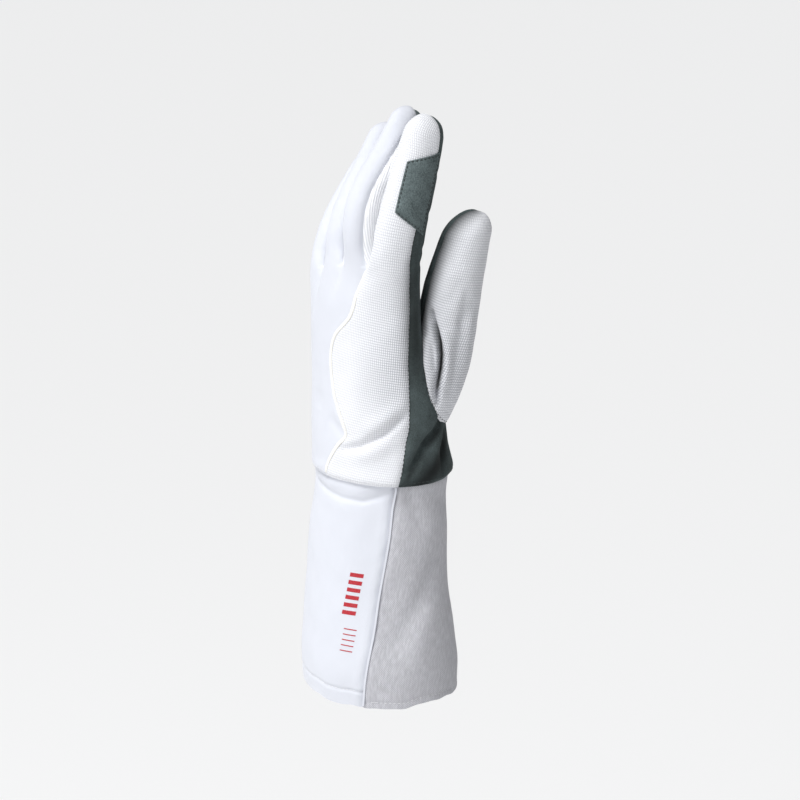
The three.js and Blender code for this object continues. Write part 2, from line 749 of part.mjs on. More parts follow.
// Patch on the outer side of the index finger, a thin plate over the back panel
const PATCH_ROWS = 8;
const PATCH_CELLS = 6;
const PATCH_CORNERS = { lowLeft: [33, 0.35], lowRight: [112, 0.24], highLeft: [29, 0.67], highRight: [118, 0.79] };
function indexPatch() {
  const skinOnly = new Skin();
  const rows = [];
  for (let j = 0; j <= PATCH_ROWS; j += 1) {
    const row = [];
    for (let k = 0; k <= PATCH_CELLS; k += 1) {
      const mix = (low, high) => low.map((value, n) => lerp(value, high[n], j / PATCH_ROWS));
      const left = mix(PATCH_CORNERS.lowLeft, PATCH_CORNERS.highLeft);
      const right = mix(PATCH_CORNERS.lowRight, PATCH_CORNERS.highRight);
      const [angle, along] = left.map((value, n) => lerp(value, right[n], k / PATCH_CELLS));
      row.push(fingerPoint(FINGERS[0], angle, 0, along));
    }
    rows.push(row);
  }
  skinOnly.addGrid('patch', rows);
  const normals = skinOnly.normals();
  skinOnly.points.forEach((point, i) => {
    point.addScaledVector(normals[i], PATCH_LIFT);
  });
  return panelShell(skinOnly, normals, 'patch', PATCH_WALL);
}

// Raised seam: a low half round over the line between the two back panels
function seamRidge() {
  const stations = [];
  for (let step = 0; step <= HAND_STEPS; step += 1) {
    const corner = skin.pointIndex(skinPoint(0, 'back', 0, placeOf(step, FINGERS[0])));
    stations.push({ at: skin.points[corner].clone(), outward: skinNormals[corner] });
  }
  stations[0].at.lerp(stations[1].at, 0.2);
  stations[HAND_STEPS].at.lerp(stations[HAND_STEPS - 1].at, 0.4);
  const rings = stations.map(({ at, outward }, step) => {
    const before = stations[Math.max(step - 1, 0)].at;
    const after = stations[Math.min(step + 1, HAND_STEPS)].at;
    const side = new THREE.Vector3().subVectors(after, before).cross(outward).normalize();
    const ring = [];
    for (let k = 0; k < SEAM_RIDGE_SIDES; k += 1) {
      const turn = (-k / SEAM_RIDGE_SIDES) * Math.PI * 2;
      const lift = Math.max(Math.sin(turn), -SEAM_RIDGE_SINK) * SEAM_RIDGE_HEIGHT;
      ring.push(at.clone()
        .addScaledVector(side, Math.cos(turn) * SEAM_RIDGE_WIDTH * 0.5)
        .addScaledVector(outward, SEAM_RIDGE_SINK * SEAM_RIDGE_HEIGHT + SEAM_RIDGE_LIFT + lift));
    }
    return ring;
  });
  return ringSolid(rings);
}

const COLOURS = { knit: 0xe9eaec, pad: 0xf1f1f2, suede: 0x4b5654, rib: 0xdedfe2, woven: 0xc9cacd };
const glove = new THREE.Group();
function addPiece(name, geometry, colour, roughness) {
  const finished = geometry.toNonIndexed();
  finished.computeVertexNormals();
  const material = new THREE.MeshStandardMaterial({ color: colour, roughness, metalness: 0 });
  const mesh = new THREE.Mesh(finished, material);
  mesh.name = name;
  glove.add(mesh);
}

addPiece('back_panel', panelShell(skin, skinNormals, 'back_panel', KNIT_WALL), COLOURS.knit, 0.9);
addPiece('back_pad', panelShell(skin, skinNormals, 'back_pad', KNIT_WALL), COLOURS.pad, 0.85);
addPiece('back_seam', seamRidge(), COLOURS.pad, 0.8);
addPiece('palm_panel', toGeometry(palm), COLOURS.suede, 0.95);
addPiece('index_patch', indexPatch(), COLOURS.suede, 0.95);
STRIP_NAMES.forEach((name) => {
  addPiece(name, panelShell(skin, skinNormals, name, RIB_WALL, STRIP_GAP), COLOURS.rib, 0.9);
});
addPiece('thumb_outer', toGeometry(thumbShell.intersect(thumbHalf(1))), COLOURS.knit, 0.9);
addPiece('thumb_inner', toGeometry(thumbShell.intersect(thumbHalf(-1))), COLOURS.suede, 0.95);
addPiece('cuff_back', cuffBack, COLOURS.pad, 0.85);
addPiece('cuff_front', cuffFront, COLOURS.woven, 0.9);
addPiece('cuff_piping', cuffPiping, COLOURS.pad, 0.8);
addPiece('cuff_hem', cuffHem, COLOURS.woven, 0.9);

export default glove;
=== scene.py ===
# %% [markdown]
# A fencing glove for the left hand, in the shape it has when worn. The packed solids come first and stay
# where they are: each cloth piece below is a finer surface that stands for one of them. Sizes are in
# millimetres while a shape is worked out, and become metres when the mesh is made.

# %% Load the frame
import math

import bpy
import numpy as np
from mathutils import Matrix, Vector


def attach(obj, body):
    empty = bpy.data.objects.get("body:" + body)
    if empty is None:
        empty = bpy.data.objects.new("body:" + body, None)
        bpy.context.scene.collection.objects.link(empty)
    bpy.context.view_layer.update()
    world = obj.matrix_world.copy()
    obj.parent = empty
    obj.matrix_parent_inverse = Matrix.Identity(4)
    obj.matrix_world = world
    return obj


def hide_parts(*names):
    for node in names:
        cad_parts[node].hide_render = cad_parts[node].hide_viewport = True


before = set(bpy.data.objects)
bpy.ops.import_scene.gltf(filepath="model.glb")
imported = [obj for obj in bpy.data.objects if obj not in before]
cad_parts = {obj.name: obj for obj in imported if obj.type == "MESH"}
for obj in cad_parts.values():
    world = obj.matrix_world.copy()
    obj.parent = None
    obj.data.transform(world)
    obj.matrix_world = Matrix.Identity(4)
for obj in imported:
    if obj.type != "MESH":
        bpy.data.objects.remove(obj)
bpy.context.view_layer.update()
MM = 0.001
print("nodes", sorted(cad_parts))

# %% [markdown]
# The glove's form is read from short tables, one row for a section. Between two rows the value follows a
# smooth curve, so few rows are enough for a soft outline.

# %% Tables that are read as smooth curves


def read_table(names, rows):
    """Cubic between neighbouring rows, with the slope at a row taken between the rows beside it."""
    data = np.array(rows, float)
    at = data[:, 0]

    def value(name, x):
        y = data[:, names.index(name)]
        slope = np.gradient(y)
        slope[1:-1] = (y[2:] - y[:-2]) / (at[2:] - at[:-2])
        slope[0] = (y[1] - y[0]) / (at[1] - at[0])
        slope[-1] = (y[-1] - y[-2]) / (at[-1] - at[-2])
        x = np.clip(np.asarray(x, float), at[0], at[-1])
        k = np.clip(np.searchsorted(at, x, side="right") - 1, 0, len(at) - 2)
        span = at[k + 1] - at[k]
        s = (x - at[k]) / span
        rise = y[k] + (y[k + 1] - y[k]) * s * s * (3 - 2 * s)
        return rise + span * s * (1 - s) * (slope[k] * (1 - s) - slope[k + 1] * s)

    return value


def smooth_step(x, start, stop):
    """0 before start, 1 after stop, 3t^2 - 2t^3 between."""
    t = np.clip((x - start) / (stop - start), 0, 1)
    return t * t * (3 - 2 * t)


print("halfway between start and stop:", float(smooth_step(0.5, 0, 1)))

# %% [markdown]
# These are the glove's measurements. Heights are taken from the cuff's mouth. Angles run from the middle of
# the hand's back at 0 over the thumb side at 90 and the palm at 180 to the little finger's side at 270.

# %% Measurements
WRIST_Z = 130.5
CUFF_TOP = 138.5
CROTCH_LEVEL = 255
CROTCH_ROUND = 13
FINGER_LENGTH = 88
HAND_TO_FINGER = (-26, 16)
HEM_CLIMB = 2.2
HEM_LOW_ANGLE = 48
BALL_ANGLE = 124
BALL_SPREAD = 36

hand = read_table(["z", "midX", "midY", "halfWidth", "halfDepth", "ball"], [
    [129, 0.5, 1.0, 45.6, 36.0, 0.0],
    [138, 0.5, 0.5, 45.0, 35.0, 2.0],
    [150, -0.5, -2.2, 43.4, 31.5, 4.5],
    [165, -1.0, -4.8, 42.6, 27.5, 7.0],
    [185, -1.0, -6.8, 42.4, 23.5, 4.5],
    [210, -1.0, -8.8, 42.4, 20.5, 0.5],
    [235, -1.0, -9.5, 42.2, 18.4, 0.0],
    [256, -1.0, -9.5, 41.8, 17.4, 0.0],
])
seams = read_table(["z", "palmEdge", "ridge", "middleRing", "ringLittle"], [
    [129, 55, -10, -30, -54],
    [138, 59, -8, -29, -53],
    [149, 65, 2, -27, -52],
    [157, 69, 11, -25, -51],
    [164, 73, 8, -24, -50],
    [180, 75, -4, -23, -48],
    [200, 76, -10, -22, -46],
    [213, 78, -5, -20, -44],
    [226, 80, 12, -16, -41],
    [243, 82, 17, -9, -37],
    [255, 84, 23, -5, -35],
])
BORDER_LINES = ("palmEdge", "ridge", "middleRing", "ringLittle", None)
LITTLE_EDGE = -96
CROTCHES = np.array([252.0, 255, 254, 247, 243])
FINGERS = [
    dict(name="index", midX=28.6, midY=-11.5, length=88, splay=1.0, width=12.0, depth=15.2),
    dict(name="middle", midX=5.8, midY=-14.0, length=94.5, splay=1.0, width=10.0, depth=13.6),
    dict(name="ring", midX=-14.8, midY=-11.0, length=86, splay=1.0, width=9.8, depth=13.2),
    dict(name="little", midX=-34.6, midY=-8.0, length=72, splay=0.5, width=9.2, depth=12.4),
]
bends = read_table(["along", "index", "middle", "ring", "little", "taper"], [
    [0.0, 4, -4, 4, 14, 1.0],
    [0.2, 8, -2, 8, 18, 1.0],
    [0.35, 15, 20, 22, 26, 0.99],
    [0.5, 19, 35, 31, 34, 0.95],
    [0.75, 18, 32, 30, 34, 0.87],
    [1.0, 15, 30, 27, 32, 0.76],
])
finger_seams = read_table(["share", "stripEdge", "outerEdge"], [
    [0.0, 50, 85],
    [0.3, 52, 93],
    [0.6, 56, 110],
    [0.83, 66, 120],
    [1.0, 90, 116],
])
thumb = read_table(["z", "midX", "midY", "halfWidth", "halfDepth"], [
    [150, 24.0, 4.0, 10.0, 10.0],
    [166, 31.0, 8.5, 13.0, 13.0],
    [190, 35.5, 13.5, 16.5, 16.0],
    [212, 37.2, 17.0, 17.5, 17.0],
    [235, 39.0, 19.8, 17.2, 16.6],
    [258, 41.8, 24.0, 15.4, 15.2],
    [275, 44.4, 28.5, 13.6, 13.8],
    [286, 46.0, 31.5, 12.8, 13.0],
])
THUMB_BOTTOM = 150
THUMB_TOP = 284.5
THUMB_TIP_ROUND = 14
cuff = read_table(["z", "midX", "midY", "halfWidth", "halfDepth", "seam"], [
    [0, 0.0, 0.0, 50.6, 40.4, 29],
    [20, -0.5, 0.2, 51.2, 41.4, 32],
    [45, -1.0, -0.6, 49.0, 38.6, 38],
    [65, -1.5, -0.8, 47.2, 36.6, 42],
    [100, -1.0, -0.2, 45.6, 34.8, 49],
    [118, 0.0, 0.5, 43.0, 33.4, 51],
    [124, 0.4, 0.8, 42.8, 33.2, 52],
    [130, 0.5, 1.0, 43.3, 33.7, 53],
    [138, 0.5, 0.6, 42.7, 32.7, 54],
])
CUFF_ULNAR_SEAM = -112
print("finger lengths", {finger["name"]: finger["length"] for finger in FINGERS})

# %% [markdown]
# The hand is one smooth oval tube that splits into four finger tubes. A point of it is found from its
# column (the finger above it), its strip (back, palm or one of the two walls between fingers), its place
# across the strip and its place up the glove. Near the crotches the columns are drawn together, and above
# them they part in a round arch.

# %% Points of the hand and the fingers


def oval_point(section, angle, z):
    """Ellipse at height z. The angle runs from the middle of the back towards the thumb side."""
    turn = np.radians(angle)
    x = section("midX", z) + section("halfWidth", z) * np.sin(turn)
    y = section("midY", z) - section("halfDepth", z) * np.cos(turn)
    return np.stack(np.broadcast_arrays(x, y, z), -1)


def hand_point(angle, z):
    """The oval, with the ball of the thumb added as a bell curve over the angle."""
    turn = np.radians(angle)
    swell = hand("ball", z) * np.exp(-((angle - BALL_ANGLE) / BALL_SPREAD) ** 2)
    return oval_point(hand, angle, z) + np.stack([swell * np.sin(turn), -swell * np.cos(turn), 0 * swell], -1)


CENTRE_STEPS = 40
for column, finger in enumerate(FINGERS):
    middles = (np.arange(CENTRE_STEPS) + 0.5) / CENTRE_STEPS
    lean = np.radians(bends(finger["name"], middles))
    step = finger["length"] / CENTRE_STEPS
    finger["forward"] = np.concatenate([[0], np.cumsum(step * np.sin(lean))])
    finger["upward"] = np.concatenate([[0], np.cumsum(step * np.cos(lean))])
    finger["baseZ"] = 0.5 * (CROTCHES[column] + CROTCHES[column + 1])
    finger["roundFrom"] = 1 - finger["width"] / finger["length"]


def finger_point(finger, angle, rise, along):
    """Ellipse square to a centre line that leans towards the palm, closed by a quarter circle at the tip."""
    turn, lean = np.radians(angle), np.radians(bends(finger["name"], along))
    splay = math.radians(finger["splay"])
    stations = np.linspace(0, 1, CENTRE_STEPS + 1)
    upward = np.interp(along, stations, finger["upward"]) + rise
    forward = np.interp(along, stations, finger["forward"]) + rise * np.tan(lean)
    past = np.clip((along - finger["roundFrom"]) / (1 - finger["roundFrom"]), 0, 1)
    size = bends("taper", along) * np.sqrt(1 - past * past)
    side = finger["width"] * size * np.sin(turn)
    back = finger["depth"] * size * np.cos(turn)
    return np.stack([
        finger["midX"] + upward * math.tan(splay) + side * math.cos(splay),
        finger["midY"] + forward - back * np.cos(lean),
        finger["baseZ"] + upward - side * math.sin(splay) + back * np.sin(lean),
    ], -1)


print("finger bases", [float(finger["baseZ"]) for finger in FINGERS])

# %% [markdown]
# On the hand, lines of angle part the four columns. On a finger, each of the four strips has a first and a
# last angle of its own, so the seams wander a little as they do on sewn cloth.

# %% Lines between the columns and the strips


def border_angle(border, z):
    """Angle on the hand's back of the line between two columns."""
    if BORDER_LINES[border] is None:
        return LITTLE_EDGE + 0 * z
    return seams(BORDER_LINES[border], z)


def palm_angle(border, z):
    """The same line on the palm side: the outer lines are shared, the inner ones mirror the crotch."""
    if border in (0, 4):
        return border_angle(border, z)
    return 180 - border_angle(border, CROTCH_LEVEL + 0 * z)


def strip_angles(column, along):
    """First and last angle round the finger of each of its four strips."""
    share = along / FINGERS[column]["roundFrom"]
    edge = np.where(share >= 1, 90, finger_seams("stripEdge", share))
    radial = finger_seams("outerEdge", share) if column == 0 else edge
    palm_start = radial if column == 0 else 180 - edge
    ulnar = 90 + 0 * edge if column == 3 else edge
    palm_end = 270 + 0 * edge if column == 3 else 180 + edge
    return {"back": (-ulnar, radial), "radial": (radial, palm_start),
            "palm": (palm_start, palm_end), "ulnar": (palm_end, 360 - ulnar)}


print("borders at the wrist", [round(float(border_angle(k, np.array(WRIST_Z)))) for k in range(5)], "degrees")

# %% [markdown]
# A column begins as a part of the hand's oval and turns into its finger's tube. The two are mixed over a
# stretch round the crotch. Then each column is pulled halfway to its neighbour, which joins them into one
# palm and leaves a round arch between two fingers.

# %% From the hand to the fingers


def wrist_rise(angle):
    """The wrist edge is lowest at the thumb side of the back and climbs away from there as a cosine."""
    return HEM_CLIMB * (1 - np.cos(np.radians(angle - HEM_LOW_ANGLE)))


def loose_point(column, strip, across, up, along):
    """Blend of the hand's oval and the finger's own tube, before the columns are joined."""
    finger = FINGERS[column]
    share = {"back": across, "palm": 1 - across, "radial": 1 + 0 * across, "ulnar": 0 * across}[strip]
    crotch = CROTCHES[column + 1] + (CROTCHES[column] - CROTCHES[column + 1]) * share
    risen = along * finger["length"]
    z = WRIST_Z + (crotch - WRIST_Z) * up + risen
    level = np.minimum(z, crotch)
    ulnar_back, ulnar_palm = border_angle(column + 1, level), palm_angle(column + 1, level)
    radial_back, radial_palm = border_angle(column, level), palm_angle(column, level)
    start, stop = {
        "back": (ulnar_back, radial_back),
        "palm": (radial_palm, ulnar_palm + (360 if column == 3 else 0)),
        "radial": (radial_back, radial_palm),
        "ulnar": (ulnar_palm, ulnar_back),
    }[strip]
    if strip in ("back", "palm"):
        angle = start + (stop - start) * across
        on_hand = hand_point(angle, z + wrist_rise(angle) * (1 - up))
    else:
        first, last = hand_point(start, z), hand_point(stop, z)
        on_hand = first + (last - first) * across[..., None]
    first, last = strip_angles(column, along)[strip]
    on_finger = finger_point(finger, first + (last - first) * across, z - crotch - risen, along)
    return on_hand + (on_finger - on_hand) * smooth_step(z - crotch, *HAND_TO_FINGER)[..., None]


ARCH_SHARPNESS = 8


def border_shift(column, side, strip, across, up, along, near):
    """Half the way to the same point of the next column. On the border it fades above the crotch as a round
    arch, 1 - sqrt(1 - (1 - t)^2), and further in as the softer 1 - 3t^2 + 2t^3."""
    neighbour = column + (-1 if side == "radial" else 1)
    if not 0 <= neighbour <= 3:
        return 0
    other_strip = {"radial": "ulnar", "ulnar": "radial"}.get(strip, strip)
    own = loose_point(column, strip, across, up, along)
    other = loose_point(neighbour, other_strip, 1 - across, up, along)
    open_share = np.clip(along * FINGER_LENGTH / CROTCH_ROUND, 0, 1)
    arch = 1 - np.sqrt(1 - (1 - open_share) ** 2)
    soft = 1 - smooth_step(open_share, 0, 1)
    pull = soft + (arch - soft) * near ** ARCH_SHARPNESS
    return 0.5 * pull[..., None] * (other - own)


def skin_point(column, strip, across, up, along):
    """Outer surface of the hand and fingers."""
    point = loose_point(column, strip, across, up, along)
    if strip in ("radial", "ulnar"):
        return point + border_shift(column, strip, strip, across, up, along, np.ones_like(across))
    near = across if strip == "back" else 1 - across
    end = np.ones_like(across) if strip == "back" else np.zeros_like(across)
    radial = border_shift(column, "radial", strip, end, up, along, near)
    ulnar = border_shift(column, "ulnar", strip, 1 - end, up, along, 1 - near)
    return point + radial * (near ** 2)[..., None] + ulnar * ((1 - near) ** 2)[..., None]


middle_tip = skin_point(1, "back", np.array([0.5]), np.array([1.0]), np.array([1.0]))[0]
print("middle fingertip at", middle_tip.round(1).tolist())

# %% [markdown]
# Cloth is never perfectly smooth. These helpers add what the tables leave out: a slow unevenness made of a
# few crossing waves, and folds, each a short line on the form that presses the cloth in or lifts it.

# %% Unevenness and folds
WAVE_COUNT = 9
FAR = 1e9
FOLD_END = 0.15


def soft_waves(points, length, seed):
    """Sum of plane waves of about one length in random directions, between about -1 and 1."""
    rng = np.random.default_rng(seed)
    directions = rng.normal(size=(WAVE_COUNT, 3))
    directions /= np.linalg.norm(directions, axis=1, keepdims=True)
    rates = 2 * np.pi / (length * rng.uniform(0.75, 1.4, WAVE_COUNT))
    phases = rng.uniform(0, 2 * np.pi, WAVE_COUNT)
    return np.sin(points @ (directions * rates[:, None]).T + phases).sum(-1) / math.sqrt(WAVE_COUNT * 2)


def unevenness(points, waves):
    """Sum of soft waves, each given as height, length and seed."""
    return sum(height * soft_waves(points, length, seed) for height, length, seed in waves)


def length_so_far(points, axis=0):
    """Distance along a line, or along each line of a grid, from its first point."""
    sums = np.cumsum(np.linalg.norm(np.diff(points, axis=axis), axis=-1), axis=axis)
    return np.concatenate([0 * np.take(sums, [0], axis), sums], axis)


def segment_distance(points, start, stop):
    """Distance of each point to the straight line between two ends, and the share along it."""
    way = stop - start
    share = np.clip((points - start) @ way / (way @ way), 0, 1)
    return np.linalg.norm(points - start - share[:, None] * way, axis=1), share


def line_depth(points, line, depth, width):
    """Bell curve across a chain of places, a little shallower towards the chain's ends."""
    reach = length_so_far(line)
    reach = reach / reach[-1]
    nearest = np.full(len(points), FAR)
    where = np.zeros(len(points))
    for k in range(len(line) - 1):
        distance, share = segment_distance(points, line[k], line[k + 1])
        nearer = distance < nearest
        nearest = np.where(nearer, distance, nearest)
        where = np.where(nearer, reach[k] + share * (reach[k + 1] - reach[k]), where)
    fade = FOLD_END + (1 - FOLD_END) * np.sqrt(np.clip(4 * where * (1 - where), 0, 1))
    return depth * fade * np.exp(-(nearest / width) ** 2)


def fold_depth(points, place, folds):
    """Sum over folds, each a chain of (angle, z) corners with a depth and a width."""
    total = np.zeros(len(points))
    for corners, depth, width in folds:
        line = np.array([place(np.array(float(a)), np.array(float(z))) for a, z in corners])
        total += line_depth(points, line, depth, width)
    return total


def crease_depth(points, creases):
    """The same for creases across a finger, whose corners are (share across the strip, share along)."""
    total = np.zeros(len(points))
    for column, strip, corners, depth, width in creases:
        shares = np.array(corners)
        line = skin_point(column, strip, shares[:, 0], np.ones(len(shares)), shares[:, 1])
        total += line_depth(points, line, depth, width)
    return total


print("folds fade to", FOLD_END, "of their depth at both ends")

# %% [markdown]
# The deepest folds lie at the wrist and the heel, where the glove bends. Each entry holds a fold's corners,
# its depth and its width, and a negative depth is a raised roll. Fingers crease at their joints.

# %% Folds of the hand and creases of the fingers
HAND_FOLDS = [
    ([(70, 173), (65.8, 170.4), (48.2, 160.8), (25.4, 152.4), (8, 149)], 2.7, 2.3),
    ([(66, 179), (48, 169), (28, 161)], -1.4, 4.0),
    ([(58, 157), (40, 150), (22, 145)], -1.1, 4.0),
    ([(-26.4, 179), (-26.4, 168)], 0.7, 6.0),
    ([(-8, 166), (6, 159), (16, 156)], 0.9, 3.5),
    ([(114, 169), (108, 163.6), (86.8, 153.8), (62.8, 136.8)], 4.6, 2.4),
    ([(84, 160), (70, 150), (62, 143)], -0.8, 4.5),
    ([(109.2, 158.5), (98, 149), (88, 138)], -1.6, 2.2),
    ([(119, 162), (110, 149), (102, 134)], 2.6, 2.4),
    ([(84, 205), (80, 188), (76, 172)], 0.7, 3.0),
    ([(178, 225), (150, 214), (128, 200)], 2.0, 2.8),
    ([(208, 226), (180, 205), (158, 180), (146, 160)], 2.3, 3.0),
    ([(236, 236), (205, 232), (175, 236)], 1.8, 2.6),
    ([(205, 152), (170, 148), (138, 151)], 2.0, 2.8),
    ([(250, 172), (225, 166), (200, 157)], 1.5, 3.0),
]
FINGER_CREASES = [
    (0, "palm", [(0.02, 0.06), (0.5, 0.045), (0.98, 0.06)], 1.5, 1.9),
    (0, "palm", [(0.02, 0.155), (0.5, 0.14), (0.98, 0.15)], 1.2, 1.8),
    (0, "palm", [(0.02, 0.40), (0.5, 0.39), (0.98, 0.41)], 1.0, 2.0),
    (0, "palm", [(0.02, 0.66), (0.5, 0.65), (0.98, 0.67)], 0.8, 1.8),
    (1, "palm", [(0.02, 0.10), (0.5, 0.085), (0.98, 0.10)], 1.1, 2.0),
    (1, "palm", [(0.02, 0.40), (0.5, 0.39), (0.98, 0.40)], 1.2, 2.2),
    (1, "palm", [(0.02, 0.68), (0.5, 0.67), (0.98, 0.68)], 0.8, 1.8),
    (2, "palm", [(0.02, 0.10), (0.5, 0.085), (0.98, 0.10)], 1.1, 2.0),
    (2, "palm", [(0.02, 0.41), (0.5, 0.40), (0.98, 0.41)], 1.2, 2.2),
    (2, "palm", [(0.02, 0.69), (0.5, 0.68), (0.98, 0.69)], 0.8, 1.8),
    (3, "palm", [(0.02, 0.12), (0.5, 0.10), (0.98, 0.12)], 1.0, 1.8),
    (3, "palm", [(0.02, 0.42), (0.5, 0.41), (0.98, 0.42)], 1.0, 2.0),
    (1, "back", [(0.15, 0.37), (0.5, 0.385), (0.85, 0.37)], 0.45, 2.0),
    (2, "back", [(0.15, 0.39), (0.5, 0.405), (0.85, 0.39)], 0.5, 2.2),
    (3, "back", [(0.15, 0.36), (0.5, 0.375), (0.85, 0.36)], 0.45, 2.0),
    (1, "back", [(0.2, 0.66), (0.5, 0.67), (0.8, 0.66)], 0.35, 1.6),
    (2, "back", [(0.2, 0.68), (0.5, 0.69), (0.8, 0.68)], 0.35, 1.6),
]
print(len(HAND_FOLDS), "folds and", len(FINGER_CREASES), "creases")

# %% [markdown]
# The skin is sampled strip by strip, each as a grid of points. Every point also learns how far it is from a
# seam and where it lies on the flat cloth.

# %% Sample the skin
HAND_ROWS = 120
CROTCH_ROWS = 16
FINGER_ROWS = 70
DOME_ROWS = 14
BACK_CELLS = 28
WALL_CELLS = 44
CROTCH_ZONE = 12.0
CROTCH_CROWDING = 1.7
NO_SEAM = 60.0


def row_places(finger):
    """Rows up the hand, then close together above the crotch, even along the finger, and round the tip."""
    low = CROTCH_ZONE / FINGER_LENGTH
    crotch_rows = low * (np.arange(1, CROTCH_ROWS + 1) / CROTCH_ROWS) ** CROTCH_CROWDING
    middle_rows = np.linspace(low, finger["roundFrom"], FINGER_ROWS + 1)[1:]
    dome = np.sin(np.linspace(0, np.pi / 2, DOME_ROWS + 1))[1:]
    tip_rows = finger["roundFrom"] + (1 - finger["roundFrom"]) * dome
    along = np.concatenate([np.zeros(HAND_ROWS + 1), crotch_rows, middle_rows, tip_rows])
    up = np.concatenate([np.linspace(0, 1, HAND_ROWS + 1), np.ones(len(along) - HAND_ROWS - 1)])
    return up, along


PANELS = ("back_panel", "back_pad", "palm_panel",
          "fourchette_index_middle", "fourchette_middle_ring", "fourchette_ring_little")


def strip_sheet(column, strip):
    """Grid of one strip: points, panel number, distance to the nearest seam and place on the cloth."""
    up, along = row_places(FINGERS[column])
    if strip in ("radial", "ulnar"):
        up, along = up[HAND_ROWS:], along[HAND_ROWS:]
    cells = BACK_CELLS if strip in ("back", "palm") else WALL_CELLS
    across = np.linspace(0, 1, cells + 1)[None, :] + 0 * up[:, None]
    up2, along2 = up[:, None] + 0 * across, along[:, None] + 0 * across
    points = skin_point(column, strip, across, up2, along2)
    width_so_far = length_so_far(points, axis=1)
    width = width_so_far[:, -1:]
    below = (1 - up2) * (CROTCH_LEVEL - WRIST_Z)
    near_start, near_end = width_so_far, width - width_so_far
    panel = {"back": min(column, 1), "palm": 2, "radial": 2 + column, "ulnar": 3 + column}[strip]
    to_welt = np.full_like(width_so_far, NO_SEAM)
    if strip == "back" and column in (0, 1):
        to_welt = np.hypot(near_start if column == 0 else near_end, along2 * FINGER_LENGTH)
    if strip in ("back", "palm"):
        ulnar_open = column == 3
        radial_open = column == 0
        start_open, end_open = (ulnar_open, radial_open) if strip == "back" else (radial_open, ulnar_open)
        near_start = near_start if start_open else np.hypot(near_start, below)
        near_end = near_end if end_open else np.hypot(near_end, below)
    to_seam = np.minimum(near_start, near_end)
    if strip in ("back", "palm"):
        to_seam = np.minimum(to_seam, up2 * (CROTCH_LEVEL - WRIST_Z) + NO_SEAM * (along2 > 0))
    lengths = np.where(along2 > 0, CROTCH_LEVEL + along2 * FINGERS[column]["length"],
                       WRIST_Z + up2 * (CROTCH_LEVEL - WRIST_Z))
    return dict(points=points, panel=panel, to_seam=to_seam, to_welt=to_welt, across=width_so_far,
                width=width, lengths=lengths, strip=strip, column=column)


def cloth_places(sheets):
    """Cloth coordinates in millimetres: across the back from the little finger's side, and up the glove.
    Above the crotch each finger keeps its own middle line."""
    for strip in ("back", "palm"):
        order = [s for s in sheets if s["strip"] == strip]
        order.sort(key=lambda s: -s["column"] if strip == "back" else s["column"])
        edge = np.zeros((HAND_ROWS + 1, 1))
        for sheet in order:
            width = sheet["width"]
            middle = edge + 0.5 * width[:HAND_ROWS + 1]
            top = np.full((len(width) - HAND_ROWS - 1, 1), middle[-1, 0])
            centre = np.concatenate([middle, top])
            sheet["u"] = centre - 0.5 * width + sheet["across"]
            edge = edge + width[:HAND_ROWS + 1]
    for sheet in sheets:
        if sheet["strip"] in ("radial", "ulnar"):
            sign = 1 if sheet["strip"] == "radial" else -1
            offset = sheet["across"] if sign > 0 else sheet["width"] - sheet["across"]
            sheet["u"] = offset - 0.5 * sheet["width"]
            sheet["lengths"] = sign * (sheet["lengths"] - CROTCH_LEVEL)


sheets = [strip_sheet(column, strip) for column in range(4) for strip in ("back", "palm")]
sheets += [strip_sheet(column, "radial") for column in (1, 2, 3)]
sheets += [strip_sheet(column, "ulnar") for column in (0, 1, 2)]
cloth_places(sheets)
print(len(sheets), "grids of points")

# %% [markdown]
# The grids are welded into one surface, so that neighbouring panels share their seam exactly. The normals,
# which say which way a fold is pressed, are taken from the welded surface.

# %% Weld the skin
WELD = 0.01


def weld_sheets(sheets):
    """Grids become one list of vertices, merged where they round to the same place, and quads over them."""
    flat = np.concatenate([s["points"].reshape(-1, 3) for s in sheets])
    keys = np.round(flat / WELD).astype(np.int64)
    _, first, index = np.unique(keys, axis=0, return_index=True, return_inverse=True)
    index = index.reshape(-1)
    distances = {}
    for name in ("to_seam", "to_welt"):
        distances[name] = np.full(len(first), FAR)
        np.minimum.at(distances[name], index, np.concatenate([s[name].ravel() for s in sheets]))
    quads, panels, offset, cloth = [], [], 0, []
    for sheet in sheets:
        rows, columns = sheet["points"].shape[:2]
        grid = offset + np.arange(rows * columns).reshape(rows, columns)
        corners = np.stack([grid[:-1, :-1], grid[:-1, 1:], grid[1:, 1:], grid[1:, :-1]], -1).reshape(-1, 4)
        quads.append(corners)
        panels.append(np.full(len(corners), sheet["panel"]))
        cloth.append(np.stack([sheet["u"].ravel(), sheet["lengths"].ravel()], -1))
        sheet["vertices"] = index[grid]
        offset += rows * columns
    quads = np.concatenate(quads)
    return flat[first], index[quads], np.concatenate(panels), distances, np.concatenate(cloth)[quads]


def vertex_normals(points, faces):
    """Area-weighted mean of the normals of the faces round each vertex."""
    a, b, c, d = (points[faces[:, k]] for k in range(4))
    area = np.cross(c - a, d - b)
    normals = np.zeros_like(points)
    for k in range(4):
        np.add.at(normals, faces[:, k], area)
    return normals / np.maximum(np.linalg.norm(normals, axis=1, keepdims=True), 1e-9)


skin, skin_faces, skin_panels, skin_distances, skin_cloth = weld_sheets(sheets)
print("skin", len(skin), "vertices", len(skin_faces), "faces")

# %% [markdown]
# A seam pulls the cloth in along its line, and the cloth swells a little beside it. Short ripples run
# into the seam where the thread gathers it. These are moved in or out along the surface's normals.

